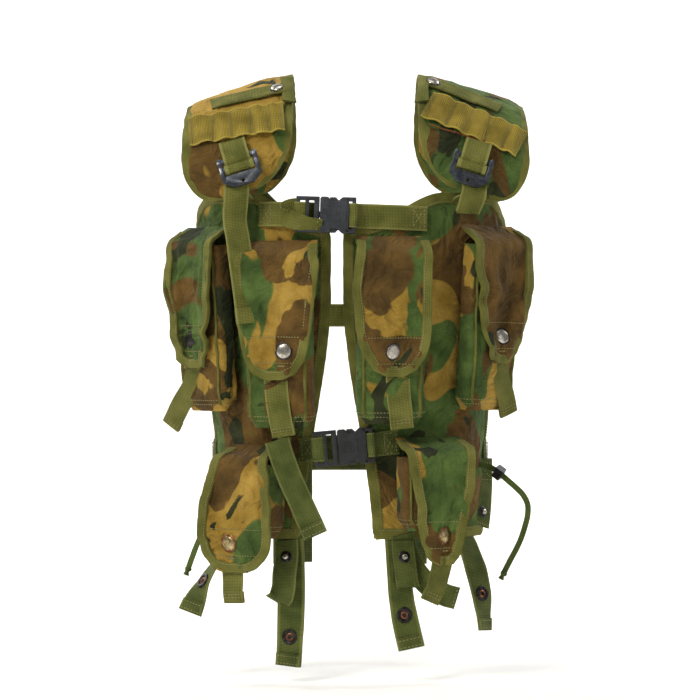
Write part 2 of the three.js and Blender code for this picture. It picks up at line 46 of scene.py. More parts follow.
# links holds what each input gets, a socket or a value; stops fill a colour ramp.
def addNode(mat, kind, links, out=0, stops=(), **settings):
    node = mat.node_tree.nodes.new("ShaderNode" + kind)
    for key, value in settings.items():
        setattr(node, key, value)
    for key, value in links.items():
        if isinstance(value, bpy.types.NodeSocket):
            mat.node_tree.links.new(value, node.inputs[key])
        else:
            node.inputs[key].default_value = value
    for i, (at, colour) in enumerate(stops):
        element = node.color_ramp.elements[i] if i < 2 else node.color_ramp.elements.new(at)
        element.position = at
        element.color = linear(colour) if isinstance(colour, str) else [colour] * 3 + [1]
    return node.outputs[out]


def newMaterial(name, **sockets):
    mat = bpy.data.materials.new(name)
    mat.use_nodes = True
    shader = mat.node_tree.nodes["Principled BSDF"]
    for key, value in sockets.items():
        shader.inputs[key.replace("_", " ")].default_value = value
    return mat, shader


def plug(mat, socket, shader, name):
    mat.node_tree.links.new(socket, shader.inputs[name])


camoDye = {
    "ochre": ("#94762c", "#b99745"),
    "green": ("#3f5426", "#5d7438"),
    "brown": ("#4f3c1c", "#75592b"),
    "black": ("#262c18", "#3a3f24"),
}


def camouflageCloth(name, shift, ochre=0.0, green=0.0, brown=0.0):
    # Printed nylon and cotton cloth, woven: matt, with four dyes in hard-edged blobs 30 to
    # 90 mm across, fading where it rubs. The three shares lean this cut towards one dye.
    mat, shader = newMaterial(name, Roughness=0.95, Specular_IOR_Level=0.22, Sheen_Weight=0.03)
    place = addNode(mat, "TexCoord", {}, out="Object")
    at = addNode(mat, "Mapping", {"Vector": place, "Location": shift})
    fade = addNode(mat, "TexNoise", {"Vector": at, "Scale": 38, "Detail": 6})
    dyes = {}
    for dye, (low, high) in camoDye.items():
        dyes[dye] = addNode(mat, "ValToRGB", {"Fac": fade}, stops=[(0.36, low), (0.66, high)])
    colour = dyes["ochre"]
    for dye, offset, perMetre, edge, swirl in (
        ("green", (3.1, 0.4, 1.7), 11, 0.50 - green + ochre, 0.9),
        ("brown", (7.7, 2.2, 5.3), 12, 0.55 - brown + ochre, 1.1),
        ("black", (1.3, 9.4, 4.4), 16, 0.63, 1.3),
    ):
        moved = addNode(mat, "Mapping", {"Vector": at, "Location": offset, "Scale": (1, 1, 0.75)})
        field = addNode(mat, "TexNoise", {"Vector": moved, "Scale": perMetre, "Detail": 3,
                                          "Roughness": 0.42, "Distortion": swirl})
        inside = addNode(mat, "ValToRGB", {"Fac": field}, stops=[(edge - 0.006, 0.0), (edge + 0.006, 1.0)])
        colour = addNode(mat, "Mix", {0: inside, 6: colour, 7: dyes[dye]}, out=2, data_type="RGBA")
    # Slub in the yarn, a little under a millimetre long.
    speck = addNode(mat, "TexNoise", {"Vector": at, "Scale": 900, "Detail": 2})
    slub = addNode(mat, "ValToRGB", {"Fac": speck}, stops=[(0.3, 0.72), (0.7, 1.0)])
    colour = addNode(mat, "Mix", {0: 0.8, 6: colour, 7: slub}, out=2, data_type="RGBA",
                     blend_type="MULTIPLY")
    plug(mat, colour, shader, "Base Color")
    # The real threads are 0.4 mm apart; they are drawn 1.2 mm apart so that the weave shows.
    across = addNode(mat, "TexWave", {"Vector": at, "Scale": 260, "Distortion": 1.0}, out="Fac",
                     bands_direction="X")
    along = addNode(mat, "TexWave", {"Vector": at, "Scale": 260, "Distortion": 1.0}, out="Fac",
                    bands_direction="Z")
    weave = addNode(mat, "Math", {0: across, 1: along}, operation="MULTIPLY")
    # Creases: rounded rumples 15 mm apart and the sharp lines where the cloth has been folded.
    rumple = addNode(mat, "TexNoise", {"Vector": at, "Scale": 62, "Detail": 4, "Roughness": 0.55,
                                       "Distortion": 0.8})
    folds = addNode(mat, "TexNoise", {"Vector": at, "Scale": 24, "Detail": 3, "Distortion": 1.6})
    centred = addNode(mat, "Math", {0: folds, 1: 0.5}, operation="SUBTRACT")
    ridge = addNode(mat, "Math", {0: centred}, operation="ABSOLUTE")
    sharp = addNode(mat, "Math", {0: ridge, 1: -4.0, 2: rumple}, operation="MULTIPLY_ADD")
    height = addNode(mat, "Math", {0: weave, 1: 0.05, 2: sharp}, operation="MULTIPLY_ADD")
    plug(mat, addNode(mat, "Bump", {"Height": height, "Distance": 0.0042, "Strength": 0.9}), shader, "Normal")
    return mat


def nylonWebbing(name, low, high, selvedge, halfWidth=0.0125, pitch=0.0015):
    # Nylon webbing, woven: matt, ribbed across every 1.5 mm, with painted shade darkening the colour
    # between the ribs, and a paler rubbed selvedge. Its map runs across and along the strap in metres.
    mat, shader = newMaterial(name, Roughness=0.86, Specular_IOR_Level=0.25, Sheen_Weight=0.02)
    flat = addNode(mat, "UVMap", {}, uv_map="strap")
    place = addNode(mat, "TexCoord", {}, out="Object")
    mottle = addNode(mat, "TexNoise", {"Vector": place, "Scale": 45, "Detail": 6})
    colour = addNode(mat, "ValToRGB", {"Fac": mottle}, stops=[(0.32, low), (0.68, high)])
    ribs = addNode(mat, "TexWave", {"Vector": flat, "Scale": math.pi / 10 / pitch, "Distortion": 0.6},
                   out="Fac", bands_direction="Y")
    warp = addNode(mat, "TexWave", {"Vector": flat, "Scale": math.pi / 20 / pitch}, out="Fac",
                   bands_direction="X")
    bulge = addNode(mat, "Math", {0: warp, 1: 0.5, 2: 0.5}, operation="MULTIPLY_ADD")
    yarn = addNode(mat, "Math", {0: ribs, 1: bulge}, operation="MULTIPLY")
    # Painted shade: the colour is darkened where the yarn is low, in the grooves between the ribs.
    shade = addNode(mat, "ValToRGB", {"Fac": yarn}, stops=[(0.05, 0.5), (0.75, 1.0)])
    colour = addNode(mat, "Mix", {0: 0.9, 6: colour, 7: shade}, out=2, data_type="RGBA",
                     blend_type="MULTIPLY")
    across = addNode(mat, "SeparateXYZ", {"Vector": flat}, out="X")
    side = addNode(mat, "Math", {0: across}, operation="ABSOLUTE")
    rubbed = addNode(mat, "MapRange", {"Value": side, "From Min": halfWidth - 0.0022,
                                       "From Max": halfWidth - 0.0008, "To Max": 0.45})
    colour = addNode(mat, "Mix", {0: rubbed, 6: colour, 7: linear(selvedge)}, out=2, data_type="RGBA")
    plug(mat, colour, shader, "Base Color")
    plug(mat, addNode(mat, "Bump", {"Height": yarn, "Distance": 0.0006, "Strength": 0.8}), shader, "Normal")
    return mat


def wornMetal(name, low, high, roughness, grain=260):
    # Pressed and plated metal: dark where the plating is whole, bright where hands and
    # straps have polished it, with fine scratches in both.
    mat, shader = newMaterial(name, Metallic=1.0)
    place = addNode(mat, "TexCoord", {}, out="Object")
    wear = addNode(mat, "TexNoise", {"Vector": place, "Scale": grain, "Detail": 7, "Roughness": 0.7})
    colour = addNode(mat, "ValToRGB", {"Fac": wear}, stops=[(0.38, low), (0.66, high)])
    plug(mat, colour, shader, "Base Color")
    gloss = addNode(mat, "MapRange", {"Value": wear, "From Min": 0.3, "From Max": 0.7,
                                      "To Min": roughness + 0.16, "To Max": roughness - 0.08})
    plug(mat, gloss, shader, "Roughness")
    plug(mat, addNode(mat, "Bump", {"Height": wear, "Distance": 0.00015, "Strength": 0.4}), shader, "Normal")
    return mat


def mouldedNylon(name, low, high):
    # Glass-filled nylon, injection moulded: a fine spark-eroded grain spreads its highlights,
    # and scuffs show paler and duller.
    mat, shader = newMaterial(name, IOR=1.53)
    place = addNode(mat, "TexCoord", {}, out="Object")
    scuff = addNode(mat, "TexNoise", {"Vector": place, "Scale": 120, "Detail": 8, "Roughness": 0.7})
    colour = addNode(mat, "ValToRGB", {"Fac": scuff}, stops=[(0.45, low), (0.72, high)])
    plug(mat, colour, shader, "Base Color")
    gloss = addNode(mat, "MapRange", {"Value": scuff, "To Min": 0.34, "To Max": 0.6})
    plug(mat, gloss, shader, "Roughness")
    grain = addNode(mat, "TexNoise", {"Vector": place, "Scale": 1800, "Detail": 3})
    plug(mat, addNode(mat, "Bump", {"Height": grain, "Distance": 0.00012, "Strength": 0.5}), shader, "Normal")
    return mat


webOlive = nylonWebbing("oliveNylonWebbing", "#5f6428", "#858440", "#a3a05c")
webGreen = nylonWebbing("darkGreenNylonWebbing", "#4a5624", "#6b7438", "#87894c")
webMustard = nylonWebbing("mustardNylonWebbing", "#857325", "#b09a3c", "#c4b050", 0.018)
bindingTape = nylonWebbing("oliveBindingTape", "#666828", "#8c8a42", "#8c8a42", 0.05, 0.0011)
thinTape = nylonWebbing("thinGreenNylonTape", "#4d5f28", "#6a7a3a", "#6a7a3a", 0.05, 0.001)
thread = nylonWebbing("oliveSewingThread", "#a29f62", "#c0ba80", "#c0ba80", 0.05)
frayedThread = nylonWebbing("rustFrayedThread", "#87401f", "#b4622f", "#b4622f", 0.05)
brass = wornMetal("wornBrass", "#6d5c3c", "#d0be90", 0.30)
nickel = wornMetal("nickelPlatedBrass", "#8b857b", "#d8d3c8", 0.24, 150)
blackened = wornMetal("blackenedBrass", "#17181a", "#4f4b48", 0.38)
copper = wornMetal("bareCopper", "#5c3a2a", "#b07a5a", 0.34)
steel = wornMetal("blackenedSteel", "#3c4048", "#6d7178", 0.36, 130)
nylonGrey = mouldedNylon("greyMouldedNylon", "#25282e", "#3d4148")
nylonBlack = mouldedNylon("blackMouldedNylon", "#0f1013", "#26282d")
print("materials made")

# shapes: all sizes below are millimetres, turned to metres where a mesh is made
# (the frame's origin is on the wearer's body axis; the front faces -Y)

def at(x, y, z):
    return Vector((x, y, z))


def mix(low, high, share):
    return low + (high - low) * share


def ease(value):
    value = min(max(value, 0.0), 1.0)
    return value * value * (3 - 2 * value)


def crumple(point, size, seed=0.0):
    return noise.noise(Vector((point[0] / size + seed, point[1] / size, point[2] / size)))


def crease(point, size, seed=0.0):  # sharp ridges between soft hollows, from -1 to 1
    return 1 - 3.2 * abs(crumple(point, size, seed))


# Every made piece: its mesh, the body it rides on, the CAD nodes it stands for and its material slot.
def makePiece(name, body, mat, verts, faces, uvs=None, replaced=(), finish=None):
    mesh = bpy.data.meshes.new(name)
    mesh.from_pydata([Vector(v) * 0.001 for v in verts], [], faces)
    mesh.validate()
    work = bmesh.new()
    work.from_mesh(mesh)
    bmesh.ops.recalc_face_normals(work, faces=work.faces)
    work.to_mesh(mesh)
    work.free()
    if uvs:
        layer = mesh.uv_layers.new(name="strap")
        for loop in mesh.loops:
            layer.data[loop.index].uv = [value * 0.001 for value in uvs[loop.vertex_index]]
    mesh.materials.append(mat)
    mesh.shade_smooth()
    mesh.set_sharp_from_angle(angle=math.radians(50))
    piece = bpy.data.objects.new(name, mesh)
    bpy.context.collection.objects.link(piece)
    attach(piece, body)
    if replaced:
        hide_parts(*replaced)
    return piece


def addGrid(faces, rows, columns, start=0, wrap=False):
    for r in range(rows - 1):
        for c in range(columns if wrap else columns - 1):
            a, b = start + r * columns + c, start + r * columns + (c + 1) % columns
            faces.append((a, b, b + columns, a + columns))


# A smooth line through points, cut into even steps; vectors that go with the points follow.
def layLine(points, across, step=3.0):
    points = [Vector(p) for p in points]
    across = [Vector(a) for a in across] if isinstance(across, list) else [Vector(across)] * len(points)
    ends = [2 * points[0] - points[1]] + points + [2 * points[-1] - points[-2]]
    fine, sides = [], []
    for i in range(1, len(ends) - 2):
        p0, p1, p2, p3 = ends[i - 1:i + 3]
        knots = [0.0]
        for a, b in ((p0, p1), (p1, p2), (p2, p3)):
            knots.append(knots[-1] + max((b - a).length, 1e-4) ** 0.5)
        parts = max(2, int((p2 - p1).length / 1.5) + 1)
        for k in range(parts):
            t = mix(knots[1], knots[2], k / parts)
            a1 = p0.lerp(p1, (t - knots[0]) / (knots[1] - knots[0]))
            a2 = p1.lerp(p2, (t - knots[1]) / (knots[2] - knots[1]))
            a3 = p2.lerp(p3, (t - knots[2]) / (knots[3] - knots[2]))
            b1 = a1.lerp(a2, (t - knots[0]) / (knots[2] - knots[0]))
            b2 = a2.lerp(a3, (t - knots[1]) / (knots[3] - knots[1]))
            fine.append(b1.lerp(b2, (t - knots[1]) / (knots[2] - knots[1])))
            sides.append(across[i - 1].lerp(across[i], k / parts))
    fine.append(points[-1])
    sides.append(across[-1])
    runs = [0.0]
    for a, b in zip(fine, fine[1:]):
        runs.append(runs[-1] + (b - a).length)
    count = max(2, int(runs[-1] / step) + 1)
    line, k = [], 0
    for i in range(count + 1):
        run = runs[-1] * i / count
        while k < len(runs) - 2 and runs[k + 1] < run:
            k += 1
        share = (run - runs[k]) / max(runs[k + 1] - runs[k], 1e-9)
        line.append([fine[k].lerp(fine[k + 1], share), sides[k].lerp(sides[k + 1], share), run])
    placed = []
    for i, (point, side, run) in enumerate(line):
        tangent = (line[min(i + 1, count)][0] - line[max(i - 1, 0)][0]).normalized()
        side = (side - tangent * side.dot(tangent)).normalized()
        placed.append({"at": point, "along": tangent, "across": side,
                       "out": side.cross(tangent).normalized(), "run": run})
    return placed


# The section of a strap: across from -1 to 1, through its thickness from -1 to 1.
strapSection = [(-1, 0.3), (-0.985, 0.8), (-0.6, 1), (-0.2, 1.02), (0.2, 1.02), (0.6, 1), (0.985, 0.8),
                (1, 0.3)]
strapSection += [(across, -height) for across, height in strapSection[::-1]]


# Webbing or tape along a laid line; a list of widths is spread evenly over its length.
def ribbon(name, body, mat, line, width, thick=1.8, wave=0.0, seed=0.0, frayed=0.0, replaced=(),
           finish="webbing"):
    widths = width if isinstance(width, (list, tuple)) else (width, width)
    verts, faces, uvs = [], [], []
    length = line[-1]["run"]
    for spot in line:
        place = spot["run"] / max(length, 1e-6) * (len(widths) - 1)
        k = min(int(place), len(widths) - 2)
        half = mix(widths[k], widths[k + 1], place - k) / 2
        for a, t in strapSection:
            side = half * (a + (crumple((a * 3, spot["run"], 0), 9, seed) * frayed if abs(a) > 0.9 else 0))
            lift = wave * crumple((a * 9, spot["run"], 3.3), 17, seed)
            verts.append(spot["at"] + spot["across"] * side + spot["out"] * (t * thick / 2 + lift))
            uvs.append((half * a, spot["run"]))
    n = len(strapSection)
    addGrid(faces, len(line), n, wrap=True)
    faces.append(tuple(range(n))[::-1])
    faces.append(tuple((len(line) - 1) * n + i for i in range(n)))
    return makePiece(name, body, mat, verts, faces, uvs, replaced, finish)


# A cloth of even thickness over a grid; place gives its middle from shares across and along.
def sheetPiece(name, body, mat, place, columns, rows, thick, **more):
    grid = [[place(c / (columns - 1), r / (rows - 1)) for c in range(columns)] for r in range(rows)]
    verts, faces, uvs = [], [], []
    for side in (0.5, -0.5):
        for r in range(rows):
            for c in range(columns):
                du = grid[r][min(c + 1, columns - 1)] - grid[r][max(c - 1, 0)]
                dv = grid[min(r + 1, rows - 1)][c] - grid[max(r - 1, 0)][c]
                normal = du.cross(dv)
                normal = normal.normalized() if normal.length > 1e-9 else Vector((0, 0, 0))
                verts.append(grid[r][c] + normal * side * thick)
                uvs.append((60 * (c / (columns - 1) - 0.5), 60 * r / (rows - 1)))
    total = rows * columns
    addGrid(faces, rows, columns)
    addGrid(faces, rows, columns, total)
    rim = [c for c in range(columns)] + [r * columns + columns - 1 for r in range(1, rows)]
    rim += [(rows - 1) * columns + c for c in range(columns - 2, -1, -1)]
    rim += [r * columns for r in range(rows - 2, 0, -1)]
    for a, b in zip(rim, rim[1:] + rim[:1]):
        faces.append((a, b, b + total, a + total))
    return makePiece(name, body, mat, verts, faces, uvs, **more)


# A profile of radius and height turned round an axis.
def turned(name, body, mat, centre, axis, profile, parts=36, dent=0.0, **more):
    axis = Vector(axis).normalized()
    side = axis.orthogonal().normalized()
    other = axis.cross(side)
    verts, faces = [], []
    for radius, height in profile:
        for i in range(parts):
            angle = 2 * math.pi * i / parts
            wobble = 1 + dent * math.sin(3 * angle + radius)
            verts.append(Vector(centre) + (side * math.cos(angle) + other * math.sin(angle)) * radius * wobble
                         + axis * height)
    addGrid(faces, len(profile), parts, wrap=True)
    faces.append(tuple(range(parts))[::-1])
    faces.append(tuple((len(profile) - 1) * parts + i for i in range(parts)))
    return makePiece(name, body, mat, verts, faces, **more)


stitches = {}


# Stitches along a line of points, each a short raised thread; the real 0.5 mm thread is drawn 0.9 mm thick.
def sew(body, points, out, pitch=3.4, share=0.62, radius=0.55, lift=0.3, mat=None):
    points = [Vector(p) for p in points]
    outs = [Vector(o) for o in out] if isinstance(out, list) else [Vector(out)] * len(points)
    runs = [0.0]
    for a, b in zip(points, points[1:]):
        runs.append(runs[-1] + (b - a).length)
    count = max(1, int(runs[-1] / pitch))
    verts, faces = stitches.setdefault((body, mat or thread), ([], []))
    for i in range(count):
        ends, lifts = [], []
        for where in (i + 0.5 - share / 2, i + 0.5 + share / 2):
            run = min(max(runs[-1] * where / count, 0), runs[-1])
            k = max(j for j in range(len(runs) - 1) if runs[j] <= run)
            part = (run - runs[k]) / max(runs[k + 1] - runs[k], 1e-9)
            ends.append(points[k].lerp(points[k + 1], part))
            lifts.append(outs[k].lerp(outs[k + 1], part).normalized() * lift)
        along = (ends[1] - ends[0]).normalized()
        side = lifts[0].cross(along).normalized() * radius
        up = lifts[0].normalized() * radius
        base = len(verts)
        for point, size in ((ends[0], 0.45), (ends[0].lerp(ends[1], 0.5) + up * 0.35, 1.0), (ends[1], 0.45)):
            for a, b in ((1, 0), (0, 1), (-1, 0), (0, -1)):
                verts.append(point + lifts[0] + (side * a + up * b) * size)
        for r in range(2):
            for c in range(4):
                a, b = base + r * 4 + c, base + r * 4 + (c + 1) % 4
                faces.append((a, b, b + 4, a + 4))
        faces.append(tuple(base + c for c in (3, 2, 1, 0)))
        faces.append(tuple(base + 8 + c for c in range(4)))


# Rows of stitches on a laid strap: one across it, or one along it at a distance from its middle.
def sewAcross(body, line, run, half, lift=1.2, **more):
    spot = min(line, key=lambda s: abs(s["run"] - run))
    points = [spot["at"] + spot["across"] * (half * k / 4) + spot["out"] * lift for k in range(-4, 5)]
    sew(body, points, spot["out"], **more)


def sewAlong(body, line, start, end, offset, lift=1.2, **more):
    part = [s for s in line if start <= s["run"] <= end]
    if len(part) > 1:
        sew(body, [s["at"] + s["across"] * offset + s["out"] * lift for s in part],
            [s["out"] for s in part], **more)


def sewBox(body, line, start, end, half, lift=1.2, **more):
    for run in (start, end):
        sewAcross(body, line, run, half, lift, **more)
    for offset in (-half, half):
        sewAlong(body, line, start, end, offset, lift, **more)
    part = [s for s in line if start <= s["run"] <= end]
    if len(part) > 1:
        for sign in (-1, 1):
            sew(body, [s["at"] + s["across"] * sign * mix(-half, half, (s["run"] - start) / (end - start))
                       + s["out"] * lift for s in part], [s["out"] for s in part], **more)


# The last stretch of a strap, moved outward to lie on it as a turned hem.
def lastStretch(line, length, lift, fromSpot=True):
    cut = line[-1]["run"] - length
    part = [s for s in line if s["run"] > cut]
    start = part[0]["run"] if fromSpot else cut
    return [dict(s, at=s["at"] + s["out"] * lift, run=s["run"] - start) for s in part]


# A press stud: a domed cap in a rolled ring.
def pressStud(name, body, centre, out, radius, capMat, ringMat, finish="snap_metal", **more):
    out = Vector(out).normalized()
    rolled = ((0.9, -0.6), (1.12, -0.3), (1.2, 0.35), (1.14, 0.9), (0.98, 1.0), (0.88, 0.6))
    turned(name + "_ring", body, ringMat, Vector(centre), out,
           [(radius * share, height) for share, height in rolled], finish=finish)
    dome = ((0.93, 0.1), (0.96, 0.9), (0.88, 1.5), (0.7, 2.0), (0.42, 2.35), (0.15, 2.45), (0.02, 2.45))
    turned(name, body, capMat, Vector(centre), out, [(radius * share, height) for share, height in dome],
           dent=0.006, finish=finish, **more)


# the body the vest is worn on, seen from above as a rounded box: its half width and half depth at each height
torso = {
    "exponent": 2.3,
    "levels": [(-320, 150, 112), (-200, 140, 100), (-110, 138, 97), (0, 146, 106), (110, 158, 114),
               (200, 160, 108)],
}


def power(value, exponent):
    return math.copysign(abs(value) ** exponent, value)


def torsoSize(z):
    levels = torso["levels"]
    k = 0
    while k < len(levels) - 2 and z > levels[k + 1][0]:
        k += 1
    share = min(max((z - levels[k][0]) / (levels[k + 1][0] - levels[k][0]), 0), 1)
    return [mix(levels[k][i], levels[k + 1][i], share) for i in (1, 2)]


def torsoNormal(angle, z):
    a, b = torsoSize(z)
    bend = 2 - 2 / torso["exponent"]
    return at(power(math.sin(angle), bend) / a, -power(math.cos(angle), bend) / b, 0).normalized()


def torsoPoint(angle, z, out):
    a, b = torsoSize(z)
    bend = 2 / torso["exponent"]
    skin = at(a * power(math.sin(angle), bend), -b * power(math.cos(angle), bend), z)
    return skin + torsoNormal(angle, z) * out


def angleAt(x, z):
    return math.asin(power(min(max(x / torsoSize(z)[0], -0.999), 0.999), torso["exponent"] / 2))


def onTorso(x, z, out):
    return torsoPoint(angleAt(x, z), z, out)


# camera and light
studio = {
    "cameraDistance": 2.5,
    "lens": 122.5,
    "floor": -0.335,
    "floorFront": -6.0,
    "backdrop": 5.0,
    "backdropHalf": 14.0,
    "backdropBend": 2.0,
    "backdropTop": 6.0,
    "worldStrength": 0.25,
}

camera = bpy.data.objects.new("camera", bpy.data.cameras.new("camera"))
bpy.context.collection.objects.link(camera)
camera.location = (0.0, -studio["cameraDistance"], 0.0)
camera.rotation_euler = (math.radians(90), 0, 0)
camera.data.lens = studio["lens"]
camera.data.clip_end = 50
bpy.context.scene.camera = camera


# side tapes: thin flat tapes that hang free at the waist
sideTapes = {
    "width": 6,
    "thick": 1.1,
    "knot": [(0.6, 3.2), (2.6, 2.6), (3.5, 1.0), (3.3, -0.8), (2.0, -2.4), (2.6, -4.4), (3.2, -6.2),
             (0.4, -6.6)],
    "R": [(134.2, -42.2, -118), (145, -46, -121), (153, -49, -126), (161, -52, -133), (169, -55, -140),
          (177, -57, -148), (182, -59, -158), (182, -60, -169), (179, -61, -181), (175, -62, -193),
          (170, -62, -204), (164, -62, -215), (157, -62, -229)],
    "L": [(-135.3, -42.8, -150), (-142, -50, -157), (-145, -58, -164), (-148, -65, -172), (-150, -69, -181),
          (-153, -72, -191), (-157, -74, -201), (-161, -75, -212), (-165, -76, -223)],
}

for side in "RL":
    points = sideTapes[side]
    line = layLine(points, [at(0.25, -0.35, 0.9)] * 3 + [at(0.93, -0.3, 0.2)] * (len(points) - 3), step=2.5)
    tape = ribbon("side_tape_" + side + "_cloth", "vest", thinTape, line, sideTapes["width"],
                  sideTapes["thick"], wave=0.25, replaced=["side_tape_" + side], finish="tape")
    end = line[-1]
    knot = turned("side_tape_" + side + "_knot", "vest", thinTape, end["at"], -end["along"], sideTapes["knot"],
                  parts=20, dent=0.12, finish="tape")
    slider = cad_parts["tape_slider_" + side]
    slider.data.materials.clear()
    slider.data.materials.append(nylonBlack)
    Vector(points[0]) * 0.001
    [s["at"] * 0.001 for s in line]
print("side tapes hung")


# front panels
panel = {
    "thick": 2.6,
    "innerTop": 122,
    "top": 158,
    "bottom": -190,
    "outerRise": 40,
    "outerAngle": 1.42,
    "closureCentre": -13,
    "closureGap": 14,
    "closureFlare": 30,
    "bindingWidth": 11,
}


def panelInnerX(sign, z):
    flare = panel["closureFlare"] * ease((60 - z) / 260)
    return panel["closureCentre"] + sign * (panel["closureGap"] / 2 + flare)


# A point of a front panel: across from the closure to the side, up, and out from the torso.
def panelPoint(sign, across, v, out):
    top = mix(panel["innerTop"], panel["top"], ease(across / 0.42)) - 24 * ease((across - 0.72) / 0.28)
    bottom = panel["bottom"] + panel["outerRise"] * ease((across - 0.8) / 0.2)
    z = mix(bottom, top, v)
    angle = mix(angleAt(panelInnerX(sign, z), z), sign * panel["outerAngle"], across)
    return torsoPoint(angle, z, out)


# A tape folded over a cloth's edge and sewn: the edge's points and, at each, the way into the cloth.
def bindEdge(name, body, mat, edge, inward, width, thick, wave=0.5, seed=0.0):
    points = [e + i.normalized() * (width / 2 - 1.0) for e, i in zip(edge, inward)]
    line = layLine(points, list(inward), step=3.0)
    tape = ribbon(name, body, mat, line, width, thick, wave=wave, seed=seed, frayed=0.08)
    for sign in (-1, 1):
        sewAlong(body, [dict(s, out=s["out"] * sign) for s in line], 2, line[-1]["run"] - 2,
                 width / 2 - 1.6, lift=thick / 2, pitch=3.0)
    return tape


for side, sign in (("L", -1), ("R", 1)):
    def place(u, v):
        point = panelPoint(sign, u, v, panel["thick"] / 2 + 0.2)
        ripple = 1.6 * crumple(point, 34, 4.0 * sign) + 0.7 * crease(point, 40, 6.0 * sign)
        ripple += 0.5 * crumple(point, 11, 2)
        return point + torsoNormal(angleAt(point.x, point.z), point.z) * max(ripple, -0.8)

    cloth = camouflageCloth("camouflageClothPanel" + side, (0.35 * sign, 0.1, 0.2), green=0.07)
    piece = sheetPiece("front_panel_" + side + "_cloth", "vest", cloth, place, 64, 90, panel["thick"],
                       replaced=["front_panel_" + side], finish="camouflage")
    rows = [(0, k / 60) for k in range(60, -1, -1)] + [(k / 30, 0) for k in range(1, 31)]
    rows += [(1, k / 60) for k in range(1, 61)] + [(k / 30, 1) for k in range(29, -1, -1)]
    edge, inward = [], []
    for u, v in rows:
        point = place(u, v)
        toward = place(mix(u, 0.5, 0.03) if u in (0, 1) else u, mix(v, 0.5, 0.03) if v in (0, 1) else v)
        edge.append(point)
        inward.append((toward - point).normalized())
    wide = sum((place(k / 30 + 1 / 30, 0.5) - place(k / 30, 0.5)).length for k in range(30))
    binding = bindEdge("front_panel_" + side + "_binding", "vest", bindingTape, edge, inward,
                       panel["bindingWidth"], panel["thick"] + 2.2, seed=7.0 * sign)
print("front panels cut and bound")


# pouches and flaps
pouches = {
    "mag": {"width": 68, "height": 168, "depth": 26, "hingeRise": 18, "flapWidth": 72},
    "grenade": {"width": 72, "height": 74, "depth": 36, "hingeRise": 18, "flapWidth": 80},
}


# The frame a pouch is built in, set flat against the torso: across, forward (negative) and up.
def seat(x, bottom, height, halfWidth):
    middle = bottom + height / 2
    normal = torsoNormal(angleAt(x, middle), middle)
    low = torsoPoint(angleAt(x, bottom), bottom, 0)
    high = torsoPoint(angleAt(x, bottom + height), bottom + height, 0)
    across = at(-normal.y, normal.x, 0)
    up = high - low
    up = (up - across * up.dot(across)).normalized()
    inwards = up.cross(across)
    reach = -1e9
    for i in range(-4, 5):
        for k in range(13):
            z = bottom + height * k / 12
            p = torsoPoint(angleAt(x + halfWidth * i / 4 * across.x, z), z, 3) - low
            if abs(p.dot(across)) <= halfWidth:
                reach = max(reach, -p.dot(inwards))
    origin = low + inwards * (-reach - 0.3)
    return lambda px, py, pz: origin + across * px + inwards * py + up * pz


